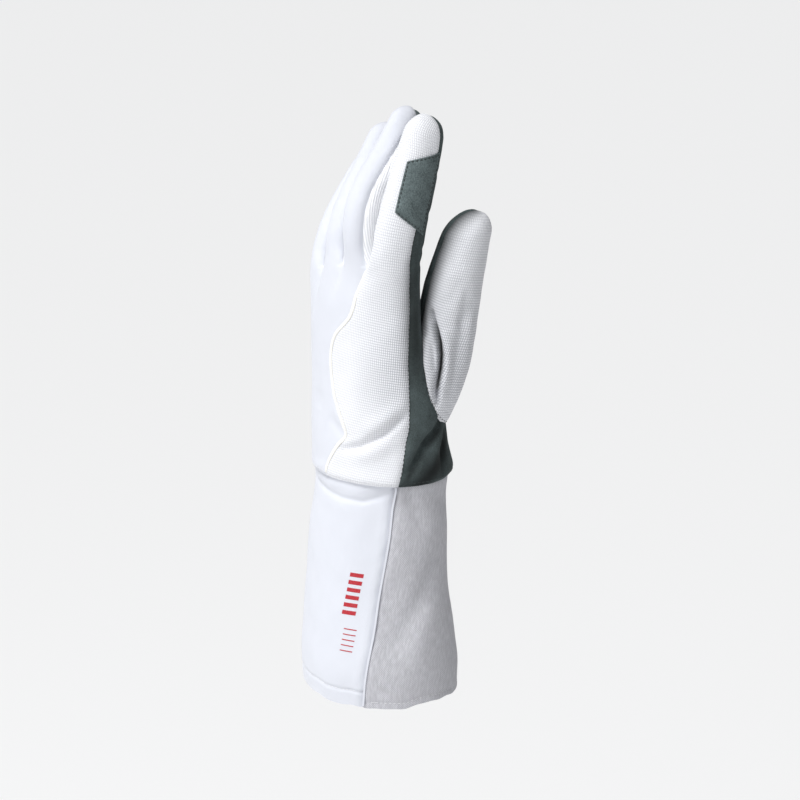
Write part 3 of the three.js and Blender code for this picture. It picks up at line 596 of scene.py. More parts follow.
# %% Press in seams and folds
SEAM_DEPTH = 0.75
SEAM_HALF_WIDTH = 1.15
PUFF_HEIGHT = 0.35
PUFF_AT = 4.2
PUFF_WIDTH = 2.6
PUCKER_HEIGHT = 0.16
PUCKER_LENGTH = 6.0
PUCKER_FADE = 5.0
WELT_SWELL, WELT_SWELL_AT, WELT_SWELL_WIDTH = 0.15, 3.4, 2.4
WELT_PUCKER, WELT_PUCKER_LENGTH, WELT_PUCKER_FADE = 0.15, 7, 4.0
CALM_SHARE = 0.9
CALM_REACH = 4.5
SKIN_WAVES = [(0.35, 34, 5), (0.12, 13, 6)]


def seam_relief(distance, points, seed):
    """A groove as a bell curve, a swelling beside it, and puckers that fade away from the seam."""
    groove = -SEAM_DEPTH * np.exp(-(distance / SEAM_HALF_WIDTH) ** 2)
    puff = PUFF_HEIGHT * np.exp(-((distance - PUFF_AT) / PUFF_WIDTH) ** 2)
    pucker = PUCKER_HEIGHT * soft_waves(points, PUCKER_LENGTH, seed) * np.exp(-distance / PUCKER_FADE)
    return groove + puff + pucker


def crotch_calm(points):
    """1 away from the crotches and near 0 at them, where four seams meet and would pull in opposite ways."""
    corners = [(sheet["strip"], sheet["vertices"][HAND_ROWS]) for sheet in sheets
               if sheet["column"] < 3 and sheet["strip"] in ("back", "palm")]
    calm = np.ones(len(points))
    for strip, row in corners:
        away = np.linalg.norm(points - points[row[0] if strip == "back" else row[-1]], axis=1)
        calm *= 1 - CALM_SHARE * np.exp(-(away / CALM_REACH) ** 2)
    return calm


normals = vertex_normals(skin, skin_faces)
to_welt = skin_distances["to_welt"]
relief = seam_relief(skin_distances["to_seam"], skin, seed=3) * crotch_calm(skin)
relief += WELT_SWELL * np.exp(-((to_welt - WELT_SWELL_AT) / WELT_SWELL_WIDTH) ** 2)
relief += unevenness(skin, [(WELT_PUCKER, WELT_PUCKER_LENGTH, 4)]) * np.exp(-to_welt / WELT_PUCKER_FADE)
relief += unevenness(skin, SKIN_WAVES)
relief -= fold_depth(skin, hand_point, HAND_FOLDS) + crease_depth(skin, FINGER_CREASES)
skin = skin + normals * relief[:, None]
skin_normals = vertex_normals(skin, skin_faces)
print("relief from %.2f to %.2f mm" % (relief.min(), relief.max()))

# %% [markdown]
# Every cloth piece is a closed wall: the outer surface, the same surface moved inwards by the cloth's
# thickness, and a narrow strip all round its edge. The edge is marked sharp, so that smooth shading
# doesn't run over it.

# %% Closed walls from a surface


def boundary(faces, count):
    """Directed edges that have no partner in the other direction."""
    start = faces.ravel()
    stop = np.roll(faces, -1, axis=1).ravel()
    real = start != stop
    start, stop = start[real], stop[real]
    alone = ~np.isin(start * count + stop, stop * count + start)
    return start[alone], stop[alone]


def clean_faces(faces, cloth):
    """Quads whose corners fall together become triangles, and empty ones go."""
    same = faces == np.roll(faces, -1, axis=1)
    whole = ~same.any(axis=1)
    lists = [list(f) for f in faces[whole]]
    places = [cloth[whole].reshape(-1, 2)]
    for k in range(4):
        keep = [j for j in range(4) if j != k]
        single = same[:, k] & (same.sum(axis=1) == 1)
        lists += [list(f) for f in faces[single][:, keep]]
        places.append(cloth[single][:, keep].reshape(-1, 2))
    return lists, np.concatenate(places)


def cloth_piece(name, points, normals, faces, cloth, wall, material, wear=None):
    """Mesh object of a closed wall, named and placed, with its cloth coordinates as a UV map and, for each
    vertex, how far painted shade darkens the cloth there."""
    used, compact = np.unique(faces, return_inverse=True)
    faces = compact.reshape(faces.shape)
    outer, inward = points[used], -normals[used] * wall
    count = len(used)
    start, stop = boundary(faces, count)
    outer_faces, outer_cloth = clean_faces(faces, cloth)
    inner_faces, inner_cloth = clean_faces(faces[:, ::-1] + count, cloth[:, ::-1])
    rim = np.stack([stop, start, start + count, stop + count], -1)
    piece_cloth = np.concatenate([outer_cloth, inner_cloth, np.zeros((len(rim) * 4, 2))])
    edges = np.stack([np.concatenate([start, start + count]), np.concatenate([stop, stop + count])], -1)
    piece = add_piece(name, np.concatenate([outer, outer + inward]), outer_faces + inner_faces + rim.tolist(),
                      piece_cloth, edges, material)
    # The stored value is painted shade, with an even grey on the thumb's knit
    if wear is not None:
        darkened = piece.data.attributes.new("wear", "FLOAT", "POINT")
        darkened.data.foreach_set("value", np.tile(np.clip(wear[used], 0, 1), 2).astype(np.float32))
    return piece


def add_piece(name, points, faces, cloth, sharp_edges, material):
    """Mesh object at the origin, in metres, with its UV map, its finish and its place in the frame."""
    mesh = bpy.data.meshes.new(name)
    mesh.from_pydata(points * MM, [], faces)
    layer = mesh.uv_layers.new(name="cloth")
    layer.data.foreach_set("uv", (cloth * MM).ravel())
    shade_smooth(mesh, sharp_edges)
    mesh.materials.append(material)
    piece = bpy.data.objects.new(name, mesh)
    bpy.context.scene.collection.objects.link(piece)
    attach(piece, "root")
    print(name, len(mesh.polygons), "faces")
    return piece


def shade_smooth(mesh, sharp_edges):
    """Smooth shading everywhere, broken at the given edges."""
    mesh.update()
    mesh.polygons.foreach_set("use_smooth", np.ones(len(mesh.polygons), bool))
    ends = np.empty(len(mesh.edges) * 2, np.int32)
    mesh.edges.foreach_get("vertices", ends)
    ends = np.sort(ends.reshape(-1, 2), axis=1).astype(np.int64)
    marks = np.sort(sharp_edges, axis=1).astype(np.int64)
    count = len(mesh.vertices)
    sharp = np.isin(ends[:, 0] * count + ends[:, 1], marks[:, 0] * count + marks[:, 1])
    attribute = mesh.attributes.new("sharp_edge", "BOOLEAN", "EDGE")
    attribute.data.foreach_set("value", sharp)


start, stop = boundary(skin_faces, len(skin))
print(len(start), "open edges at the glove's wrist, before any wall is made")

# %% [markdown]
# Materials are built from nodes. A pattern that follows the cloth reads the piece's own UV map, where one
# unit is one metre of cloth, and slow changes of tone read Object coordinates.

# %% Material helpers


class Finish:
    """A material under construction. Each method adds a node and gives back its result socket."""

    def __init__(self, name, roughness, sheen=0.0, specular=0.3):
        self.material = bpy.data.materials.new(name)
        self.material.use_nodes = True
        self.nodes = self.material.node_tree.nodes
        self.links = self.material.node_tree.links
        self.surface = self.nodes["Principled BSDF"]
        self.surface.inputs["Roughness"].default_value = roughness
        self.surface.inputs["Sheen Weight"].default_value = sheen
        self.surface.inputs["Sheen Roughness"].default_value = 0.5
        self.surface.inputs["Specular IOR Level"].default_value = specular
        cloth = self.nodes.new("ShaderNodeUVMap")
        cloth.uv_map = "cloth"
        self.cloth = cloth.outputs["UV"]
        self.place = self.nodes.new("ShaderNodeTexCoord").outputs["Object"]
        split = self.nodes.new("ShaderNodeSeparateXYZ")
        self.links.new(self.cloth, split.inputs[0])
        self.u, self.v = split.outputs["X"], split.outputs["Y"]
        position = self.nodes.new("ShaderNodeSeparateXYZ")
        self.links.new(self.place, position.inputs[0])
        self.sideways, self.height = position.outputs["X"], position.outputs["Z"]
        # Value stored at each vertex: painted shade, with an even grey on the thumb's knit
        wear = self.nodes.new("ShaderNodeAttribute")
        wear.attribute_name = "wear"
        self.wear = wear.outputs["Fac"]

    def put(self, socket, value):
        """Links a socket to another, or sets it to a number or a colour."""
        if isinstance(value, bpy.types.NodeSocket):
            self.links.new(value, socket)
        elif isinstance(value, tuple) and len(value) == 3:
            socket.default_value = (*value, 1)
        else:
            socket.default_value = value

    def math(self, operation, *values):
        """One of the operations of the Math node."""
        node = self.nodes.new("ShaderNodeMath")
        node.operation = operation
        for socket, value in zip(node.inputs, values):
            self.put(socket, value)
        return node.outputs[0]

    def noise(self, size, detail=2.0, coordinates=None):
        """Cloudy noise whose blobs are about size metres across."""
        node = self.nodes.new("ShaderNodeTexNoise")
        node.inputs["Scale"].default_value = 1 / size
        node.inputs["Detail"].default_value = detail
        self.links.new(coordinates or self.place, node.inputs["Vector"])
        return node.outputs["Fac"]

    def waves(self, coordinate, pitch, power=1.0):
        """Half of 1 + cos(2 pi x / pitch), raised to a power: one hill for each pitch."""
        turn = self.math("MULTIPLY", coordinate, 2 * math.pi / pitch)
        hill = self.math("MULTIPLY_ADD", self.math("COSINE", turn), 0.5, 0.5)
        return hill if power == 1.0 else self.math("POWER", hill, power)

    def ramp(self, value, start, stop):
        """0 before start, 1 after stop, and a straight line between; start may be the larger."""
        node = self.nodes.new("ShaderNodeMapRange")
        self.links.new(value, node.inputs["Value"])
        node.inputs["From Min"].default_value = start
        node.inputs["From Max"].default_value = stop
        return node.outputs[0]

    def mix(self, factor, low, high):
        """The colour low at factor 0 and high at 1."""
        node = self.nodes.new("ShaderNodeMix")
        node.data_type = "RGBA"
        self.put(node.inputs[0], factor)
        self.put(node.inputs[6], low)
        self.put(node.inputs[7], high)
        return node.outputs[2]

    def colour(self, value):
        self.put(self.surface.inputs["Base Color"], value)

    def bump(self, height, depth, strength):
        """Relief whose height of 1 stands depth metres out of the cloth."""
        node = self.nodes.new("ShaderNodeBump")
        node.inputs["Strength"].default_value = strength
        node.inputs["Distance"].default_value = depth
        self.links.new(height, node.inputs["Height"])
        self.links.new(node.outputs[0], self.surface.inputs["Normal"])


print("a finish can make", [name for name in vars(Finish) if not name.startswith("_")])

# %% [markdown]
# The white knit on the thumb side is a square mesh: small pillows in columns and rows, with thin dark lines
# between them. Two cosine waves multiplied give the pillows, and a low power makes them flat on top. Over
# the knuckles and at the wrist the mesh is closed by the stretch of the cloth, so the lines are pale there.

# %% Square knit
COLUMN_PITCH = 1.22 * MM
ROW_PITCH = 1.42 * MM
ROW_SLANT = 0.06
PALE_TOP_Z, OPEN_TOP_Z = 0.30, 0.21
PALE_LOW_Z, OPEN_LOW_Z = 0.135, 0.185
PALE_X, OPEN_X = 0.008, 0.036


def make_square_knit():
    """Height = across^0.42 * upward^0.36. Between the pillows less light leaves the cloth."""
    finish = Finish("square_knit", roughness=0.85, sheen=0.12)
    wander = finish.math("MULTIPLY", finish.math("SUBTRACT", finish.noise(5 * MM), 0.5), 0.4 * MM)
    slanted = finish.math("MULTIPLY_ADD", finish.u, ROW_SLANT, finish.v)
    across = finish.waves(finish.math("ADD", finish.u, wander), COLUMN_PITCH, 0.42)
    upward = finish.waves(finish.math("ADD", slanted, wander), ROW_PITCH, 0.36)
    pillow = finish.math("MULTIPLY", across, upward)
    fuzz = finish.noise(0.35 * MM, 3.0)
    finish.bump(finish.math("MULTIPLY_ADD", fuzz, 0.2, pillow), 0.24 * MM, 0.8)
    towards_top = finish.ramp(finish.height, PALE_TOP_Z, OPEN_TOP_Z)
    towards_wrist = finish.ramp(finish.height, PALE_LOW_Z, OPEN_LOW_Z)
    open_mesh = finish.math("MULTIPLY", finish.math("MINIMUM", towards_top, towards_wrist),
                            finish.ramp(finish.sideways, PALE_X, OPEN_X))
    line_tone = finish.mix(open_mesh, (0.72, 0.73, 0.77), (0.34, 0.35, 0.39))
    tone = finish.mix(pillow, line_tone, (0.95, 0.96, 0.99))
    soil = finish.math("MULTIPLY", finish.noise(16 * MM, 3.0), 0.2)
    clean = finish.mix(soil, tone, (0.70, 0.71, 0.74))
    # Painted shade: the value stored at each vertex darkens the knit towards near black
    finish.colour(finish.mix(finish.wear, clean, (0.055, 0.060, 0.062)))
    return finish.material


MATERIALS = {"square_knit": make_square_knit()}
print("square knit, %.2f by %.2f mm a pillow" % (COLUMN_PITCH / MM, ROW_PITCH / MM))

# %% [markdown]
# The rest of the back is a plain smooth knit over thin padding: almost white, with a very fine stitch and
# slow clouds of tone.

# %% Smooth knit
STITCH_PITCH = 0.55 * MM


def make_smooth_knit():
    """Height = stitch + 0.8 noise, where the stitch is the product of two slanted waves."""
    finish = Finish("smooth_knit", roughness=0.8, sheen=0.2)
    across = finish.waves(finish.u, STITCH_PITCH)
    upward = finish.waves(finish.math("ADD", finish.v, finish.math("MULTIPLY", finish.u, 0.5)), STITCH_PITCH)
    stitch = finish.math("MULTIPLY", across, upward)
    height = finish.math("MULTIPLY_ADD", finish.noise(0.6 * MM, 3.0), 0.8, stitch)
    finish.bump(height, 0.1 * MM, 0.7)
    clouds = finish.math("MULTIPLY", finish.noise(22 * MM, 3.0), 0.35)
    tone = finish.mix(clouds, (0.72, 0.74, 0.80), (0.66, 0.68, 0.745))
    finish.colour(finish.mix(finish.math("MULTIPLY", stitch, 0.12), tone, (0.82, 0.83, 0.87)))
    return finish.material


MATERIALS["smooth_knit"] = make_smooth_knit()
print("smooth knit, %.2f mm a stitch" % (STITCH_PITCH / MM))

# %% [markdown]
# The strips between the fingers are a stretchy rib: rounded cords side by side with dark valleys. One wave
# across the cloth gives the cords, and a much weaker one along it gives the knitted loops.

# %% Ribbed knit
RIB_PITCH = 1.5 * MM
RIB_SLANT = 0.12
LOOP_PITCH = 0.9 * MM


def make_ribbed_knit():
    """Height = rib + 0.12 loops + 0.15 noise. The colour follows the square root of the rib."""
    finish = Finish("ribbed_knit", roughness=0.85, sheen=0.15)
    rib = finish.waves(finish.math("MULTIPLY_ADD", finish.v, RIB_SLANT, finish.u), RIB_PITCH)
    loops = finish.waves(finish.v, LOOP_PITCH)
    height = finish.math("MULTIPLY_ADD", loops, 0.12, rib)
    finish.bump(finish.math("MULTIPLY_ADD", finish.noise(0.4 * MM, 3.0), 0.15, height), 0.22 * MM, 0.8)
    valley = finish.math("POWER", rib, 0.5)
    finish.colour(finish.mix(valley, (0.74, 0.75, 0.78), (0.97, 0.975, 0.99)))
    return finish.material


MATERIALS["ribbed_knit"] = make_ribbed_knit()
print("ribbed knit, %.2f mm a rib" % (RIB_PITCH / MM))

# %% [markdown]
# The palm is a dark synthetic suede with a short nap. The nap turns here and there, which shows as lighter
# and darker clouds. The patch on the index finger is rubbed by use, so it gets the same recipe with paler
# tones and a coarser grain.

# %% Suede
SUEDE_SHEEN = (0.55, 0.62, 0.62, 1)


def make_suede(name, dark, light, grain, cloud_size, cloudiness):
    """Fine nap on slow clouds, both in the colour and in the bump."""
    finish = Finish(name, roughness=0.95, sheen=0.12, specular=0.1)
    finish.surface.inputs["Sheen Tint"].default_value = SUEDE_SHEEN
    nap = finish.noise(grain, 4.0)
    clouds = finish.noise(cloud_size, 4.0)
    finish.bump(finish.math("MULTIPLY_ADD", clouds, 1.5, nap), 0.25 * MM, 0.9)
    mixed = finish.math("MULTIPLY_ADD", finish.math("SUBTRACT", nap, 0.5), 1.6, 0.5)
    blurred = finish.math("MULTIPLY_ADD", finish.math("SUBTRACT", clouds, 0.5), cloudiness, mixed)
    tone = finish.mix(blurred, dark, light)
    # Painted shade: the value stored at each vertex darkens the suede towards near black
    finish.colour(finish.mix(finish.wear, tone, (0.014, 0.016, 0.016)))
    return finish.material


MATERIALS["suede"] = make_suede("suede", dark=(0.030, 0.037, 0.037), light=(0.105, 0.134, 0.136),
                                grain=0.45 * MM, cloud_size=11 * MM, cloudiness=1.3)
MATERIALS["worn_suede"] = make_suede("worn_suede", dark=(0.048, 0.061, 0.062), light=(0.185, 0.232, 0.236),
                                     grain=0.7 * MM, cloud_size=9 * MM, cloudiness=0.9)
print("suede, fresh and worn")

# %% [markdown]
# The cuff's front is a firm plain weave, two sets of threads that pass over and under each other. The
# difference of two waves has one sign where the first set lies on top and the other sign where the second
# does, so its absolute value raises both in turn.

# %% Woven cloth
WEAVE_PITCH = 1.2 * MM
SLUB_WIDTH = 1.1 * MM
SLUB_STRETCH = 0.22


def make_woven():
    """Height = |across - upward| + 0.4 noise. Longer streaks of noise, the slubs, show in the colour."""
    finish = Finish("woven", roughness=0.8, sheen=0.1)
    across = finish.waves(finish.u, WEAVE_PITCH)
    upward = finish.waves(finish.v, WEAVE_PITCH)
    checker = finish.math("ABSOLUTE", finish.math("SUBTRACT", across, upward))
    fuzz = finish.noise(0.4 * MM, 3.0)
    finish.bump(finish.math("MULTIPLY_ADD", fuzz, 0.4, checker), 0.22 * MM, 0.8)
    streaks = finish.nodes.new("ShaderNodeMapping")
    streaks.inputs["Scale"].default_value = (1.0, SLUB_STRETCH, 1.0)
    finish.links.new(finish.cloth, streaks.inputs["Vector"])
    slub = finish.noise(SLUB_WIDTH, 3.0, streaks.outputs[0])
    threads = finish.math("MULTIPLY_ADD", finish.math("SUBTRACT", slub, 0.5), 1.6, checker)
    tone = finish.mix(threads, (0.44, 0.44, 0.475), (0.74, 0.74, 0.785))
    clouds = finish.math("MULTIPLY", finish.noise(18 * MM, 3.0), 0.25)
    finish.colour(finish.mix(clouds, tone, (0.50, 0.50, 0.52)))
    return finish.material


MATERIALS["woven"] = make_woven()
print("finishes so far", sorted(MATERIALS))

# %% [markdown]
# Seam tape, thread and print are small parts of the picture, and each has its own simple finish: the tape
# shows slanted stitches, the thread is twisted, and the print is a film in which the knit still shows.

# %% Tape, thread and print
TAPE_PITCH = 1.6 * MM
TWIST_PITCH = 0.5 * MM


def make_tape():
    """Height = the root of a slanted wave + 0.3 noise."""
    finish = Finish("seam_tape", roughness=0.75, sheen=0.1)
    slanted = finish.waves(finish.math("ADD", finish.v, finish.u), TAPE_PITCH, 0.5)
    finish.bump(finish.math("MULTIPLY_ADD", finish.noise(0.3 * MM, 3.0), 0.3, slanted), 0.15 * MM, 0.9)
    finish.colour(finish.mix(slanted, (0.80, 0.785, 0.74), (0.95, 0.94, 0.90)))
    return finish.material


def make_thread(name, dark, light):
    """Height and colour follow one wave that winds round the thread."""
    finish = Finish(name, roughness=0.6, sheen=0.1)
    twist = finish.waves(finish.math("ADD", finish.v, finish.u), TWIST_PITCH)
    finish.bump(twist, 0.05 * MM, 0.8)
    finish.colour(finish.mix(twist, dark, light))
    return finish.material


def make_print():
    """The knit's stitch, made shallow by the film. Cubed noise picks the few places that are worn pale."""
    finish = Finish("red_print", roughness=0.55, specular=0.35)
    across, upward = finish.waves(finish.u, STITCH_PITCH), finish.waves(finish.v, STITCH_PITCH)
    stitch = finish.math("MULTIPLY", across, upward)
    finish.bump(finish.math("MULTIPLY_ADD", finish.noise(0.6 * MM, 3.0), 0.8, stitch), 0.06 * MM, 0.6)
    wear = finish.math("POWER", finish.noise(1.3 * MM, 4.0), 3.0)
    finish.colour(finish.mix(wear, (0.46, 0.018, 0.030), (0.60, 0.12, 0.13)))
    return finish.material


MATERIALS.update(tape=make_tape(), red_print=make_print(),
                 dark_thread=make_thread("dark_thread", (0.018, 0.022, 0.022), (0.05, 0.058, 0.058)),
                 white_thread=make_thread("white_thread", (0.66, 0.67, 0.70), (0.93, 0.93, 0.94)))
print("all finishes", sorted(MATERIALS))

# %% [markdown]
# Now the hand's panels are cut from the welded skin. Each takes the thickness and the cloth of the packed
# solid it stands for. Only the smooth back panel is lined with a thin firm pad.
# Painted shade darkens the creases, the shaded heel and the top of the palm strip a little, as a value stored
# at each vertex.

# %% Hand and finger panels
# Painted shade: lines along the wrist crease and the heel's creases, a broad one over the shaded heel and one
# down the top of the palm strip, each with a darkness and a width
HAND_SHADE_LINES = [
    ([(66.5, 170.8), (58, 166), (50, 161.6)], 0.25, 1.3),
    ([(118, 169), (108, 161.6), (86.8, 151.6), (60, 132)], 1.0, 1.8),
    ([(142, 168), (112, 149), (92, 140), (72, 129), (50, 117)], 1.0, 6.5),
    ([(119, 162), (110, 149), (102, 134)], 0.5, 2.0),
    ([(86, 262), (86, 235), (85, 190)], 0.7, 7.0),
]
KNIT_WALL = 2.0
SUEDE_WALL = 1.4
RIB_WALL = 1.6
skin_wear = fold_depth(skin, hand_point, HAND_SHADE_LINES)
PANEL_CLOTH = {
    "back_panel": (KNIT_WALL, "square_knit"),
    "back_pad": (KNIT_WALL, "smooth_knit"),
    "palm_panel": (SUEDE_WALL, "suede"),
    "fourchette_index_middle": (RIB_WALL, "ribbed_knit"),
    "fourchette_middle_ring": (RIB_WALL, "ribbed_knit"),
    "fourchette_ring_little": (RIB_WALL, "ribbed_knit"),
}
for number, node in enumerate(PANELS):
    wall, cloth_name = PANEL_CLOTH[node]
    mine = skin_panels == number
    piece = cloth_piece(node + "_cloth", skin, skin_normals, skin_faces[mine], skin_cloth[mine], wall,
                        MATERIALS[cloth_name], wear=skin_wear)
    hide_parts(node)

# %% [markdown]
# The thumb is a tube of its own, and a plane along its axis parts it into an outer and an inner half. The
# plane is given by the direction that it faces.

# %% Thumb surface
THUMB_FACING = 76
THUMB_PART_BACK = 0.5
THUMB_LOW, THUMB_HIGH = 200.0, 275.0


def section_middle(section, z):
    """Middle of a section's oval."""
    return np.stack(np.broadcast_arrays(section("midX", z), section("midY", z), z), -1)


thumb_axis = section_middle(thumb, np.array(THUMB_HIGH)) - section_middle(thumb, np.array(THUMB_LOW))
thumb_axis /= np.linalg.norm(thumb_axis)
facing = np.array([math.sin(math.radians(THUMB_FACING)), -math.cos(math.radians(THUMB_FACING)), 0.0])
facing -= facing @ thumb_axis * thumb_axis
facing /= np.linalg.norm(facing)


def thumb_dome(z):
    """Quarter circle over the last stretch below the tip."""
    past = np.clip((z - (THUMB_TOP - THUMB_TIP_ROUND)) / THUMB_TIP_ROUND, 0, 1)
    return np.sqrt(1 - past * past)


def thumb_half_angles(z):
    """The plane of the thumb's seam cuts each oval section at middle -+ reach."""
    a = thumb("halfWidth", z) * facing[0] * thumb_dome(z)
    b = -thumb("halfDepth", z) * facing[1] * thumb_dome(z)
    moved = section_middle(thumb, z) - section_middle(thumb, np.array(THUMB_LOW))
    offset = -THUMB_PART_BACK - moved @ facing
    reach = np.arccos(np.clip(offset / np.maximum(np.hypot(a, b), 1e-6), -1, 1))
    return np.degrees(np.arctan2(a, b)), np.degrees(reach)


def thumb_point(outer, across, z):
    """Oval section with the tip's quarter circle. Across runs round the outer or the inner half."""
    middle, reach = thumb_half_angles(z)
    start, span = (middle - reach, 2 * reach) if outer else (middle + reach, 360 - 2 * reach)
    turn = np.radians(start + span * across)
    dome = thumb_dome(z)
    x = thumb("midX", z) + thumb("halfWidth", z) * dome * np.sin(turn)
    y = thumb("midY", z) - thumb("halfDepth", z) * dome * np.cos(turn)
    return np.stack(np.broadcast_arrays(x, y, z), -1)


print("thumb leans %.1f degrees from upright" % math.degrees(math.acos(thumb_axis[2])))

# %% [markdown]
# The thumb's lower edge isn't known beforehand: for each line up the thumb, the last height at which the
# line is still inside the hand is looked up. The found edge is smoothed a little.

# %% Where the thumb leaves the hand


def outside_hand(points):
    """Distance from the section's middle, less that of the hand's own surface in the same direction."""
    z = points[..., 2]
    dx = (points[..., 0] - hand("midX", z)) / hand("halfWidth", z)
    dy = (points[..., 1] - hand("midY", z)) / hand("halfDepth", z)
    angle = np.degrees(np.arctan2(dx, -dy))
    middle = section_middle(hand, z)
    return np.linalg.norm(points - middle, axis=-1) - np.linalg.norm(hand_point(angle, z) - middle, axis=-1)


THUMB_CELLS = 130
THUMB_ROWS = 210
SEARCH_ROWS = 600
THUMB_SINK = 0.35
EDGE_SMOOTHING = 5
TIP_MARGIN = 0.02
TIP_SEARCH_ROWS = 4000
CLOSED_REACH = 179.5
DOME_ROWS_FROM = 0.9
DOME_FROM = 0.9212


def thumb_grid(outer):
    """Rows from where the line leaves the hand up to the tip, closer together round the dome."""
    across = np.linspace(0, 1, THUMB_CELLS + 1)
    heights = np.linspace(THUMB_BOTTOM, THUMB_TOP - TIP_MARGIN, SEARCH_ROWS)
    out = outside_hand(thumb_point(outer, across[None, :], heights[:, None]))
    inside = out < -THUMB_SINK
    last = SEARCH_ROWS - 1 - np.argmax(inside[::-1], axis=0)
    last = np.where(inside.any(axis=0), last, 0)
    low = heights[last]
    padded = np.pad(low, EDGE_SMOOTHING // 2, mode="edge")
    low = np.convolve(padded, np.ones(EDGE_SMOOTHING) / EDGE_SMOOTHING, mode="valid")
    top = THUMB_TOP if outer else inner_thumb_top()
    share = np.linspace(0, 1, THUMB_ROWS + 1)
    z = low[None, :] + (top - low)[None, :] * rounded(share)[:, None]
    return thumb_point(outer, across[None, :], z), z, low


def rounded(share):
    """Even steps, then steps that shrink towards the end as on a quarter circle."""
    past = np.clip((share - DOME_ROWS_FROM) / (1 - DOME_ROWS_FROM), 0, 1)
    return np.where(share < DOME_ROWS_FROM, share * DOME_FROM / DOME_ROWS_FROM,
                    DOME_FROM + (1 - DOME_FROM) * np.sin(past * np.pi / 2))


def inner_thumb_top():
    """Height where the seam plane leaves the dome, so the inner half closes there."""
    heights = np.linspace(THUMB_TOP - THUMB_TIP_ROUND, THUMB_TOP - 0.5 * TIP_MARGIN, TIP_SEARCH_ROWS)
    _, reach = thumb_half_angles(heights)
    return heights[np.argmax(reach > CLOSED_REACH)]


thumb_outer_grid, thumb_outer_z, thumb_outer_low = thumb_grid(True)
thumb_inner_grid, thumb_inner_z, thumb_inner_low = thumb_grid(False)
print("thumb leaves the hand between %.0f and %.0f mm" % (thumb_outer_low.min(), thumb_inner_low.max()))

# %% [markdown]
# Where the thumb bends away from the hand, the stiff cloth buckles: one deep fold runs beside the seam and
# the cloth next to it stands up like a tube. Folds are chains of angles round the thumb and heights.

# %% Thumb pieces
DEEP_FOLD = [(8, 230), (14.4, 224.5), (26, 218), (35.8, 211.5), (43, 205), (46.2, 197.3), (48.8, 184.4),
             (58, 176)]
THUMB_FOLDS = [
    (DEEP_FOLD, 8.0, 1.75),
    ([(8.4, 216), (18, 203), (27, 193), (38, 184), (54, 177)], -2.9, 2.8),
    ([(40, 220), (54, 210), (59, 198), (62, 186)], -1.5, 3.6),
    ([(22, 212), (30, 203), (36, 196)], 1.3, 1.1),
    ([(76, 242), (76, 225), (76, 214), (74, 202), (77, 191), (85, 179)], 1.6, 3.4),
    ([(98, 226), (99, 213), (105, 196)], -0.9, 3.2),
    ([(60, 248), (50, 240), (40, 233)], 0.6, 3.5),
    ([(100, 236), (82, 226), (66, 222)], 0.8, 3.5),
    ([(30, 262), (44, 256), (58, 255)], 0.5, 3.0),
]


def thumb_place(angle, z):
    """Oval of the thumb at an angle from the middle of the hand's back."""
    return oval_point(thumb, angle, z)


def grid_faces(rows, columns):
    """Quads of a grid whose rows run upwards and whose columns run towards the thumb side."""
    index = np.arange(rows * columns).reshape(rows, columns)
    return np.stack([index[:-1, :-1], index[:-1, 1:], index[1:, 1:], index[1:, :-1]], -1).reshape(-1, 4)


def grid_lengths(grid):
    """Distance of every point, along its row, from the grid's first side edge and from the other one."""
    so_far = length_so_far(grid, axis=1)
    return so_far, so_far[:, -1:] - so_far


THUMB_SLANT = 0.08
THUMB_WAVES = [(0.3, 26, 12), (0.1, 9, 13)]
# Painted shade on the thumb's knit: darkening along the deep fold, and the hand's shadow beside the inner
# seam, which fades over a width and grows in between two heights. THUMB_GREY is an even grey over the whole
# thumb
THUMB_FOLD_SHADE = (DEEP_FOLD[1:-1], 1.1, 1.5)
SHADOW_WIDTH = 17.0
SHADOW_DARKNESS = 0.95
SHADOW_FROM_Z, SHADOW_FULL_Z = 206, 222
THUMB_GREY = 0.05


def thumb_wear(points, from_start, z):
    """Painted shade in the deep fold and the hand's shadow painted beside the inner seam, fading away from
    it, with an even grey over the whole thumb added.
    """
    crease_shade = fold_depth(points, thumb_place, [THUMB_FOLD_SHADE])
    hand_shadow = SHADOW_DARKNESS * (1 - smooth_step(from_start, 0, SHADOW_WIDTH))
    return np.maximum(crease_shade, hand_shadow * smooth_step(z, SHADOW_FROM_Z, SHADOW_FULL_Z)) + THUMB_GREY


def thumb_piece(node, grid, z, wall, cloth_name):
    """One half of the thumb, moved along its normals by its seams, waves and folds."""
    from_start, to_end = grid_lengths(grid)
    distance = np.minimum(np.minimum(from_start, to_end), length_so_far(grid))
    points = grid.reshape(-1, 3)
    faces = grid_faces(*z.shape)
    normals = vertex_normals(points, faces)
    relief = seam_relief(distance.ravel(), points, seed=11) + unevenness(points, THUMB_WAVES)
    relief -= fold_depth(points, thumb_place, THUMB_FOLDS)
    # Painted shade for the knit half only
    wear = thumb_wear(points, from_start.ravel(), z.ravel()) if cloth_name == "square_knit" else None
    points = points + normals * relief[:, None]
    aside = 0.5 * (from_start - to_end)
    cloth = np.stack([aside.ravel(), (z + THUMB_SLANT * aside).ravel()], -1)
    normals = vertex_normals(points, faces)
    piece = cloth_piece(node + "_cloth", points, normals, faces, cloth[faces], wall, MATERIALS[cloth_name],
                        wear=wear)
    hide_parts(node)
    return points.reshape(grid.shape), normals.reshape(grid.shape)


thumb_surface, thumb_normals = thumb_piece("thumb_outer", thumb_outer_grid, thumb_outer_z, KNIT_WALL,
                                           "square_knit")
thumb_piece("thumb_inner", thumb_inner_grid, thumb_inner_z, SUEDE_WALL, "suede")

# %% [markdown]
# The cuff is a sleeve of two panels. Its mouth is cut a little unevenly, and its top is tucked up inside
# the hand. A sleeve is an oval at every height, so each panel is a grid of angles and heights, and the hem
# inside the mouth is the same grid set inwards.

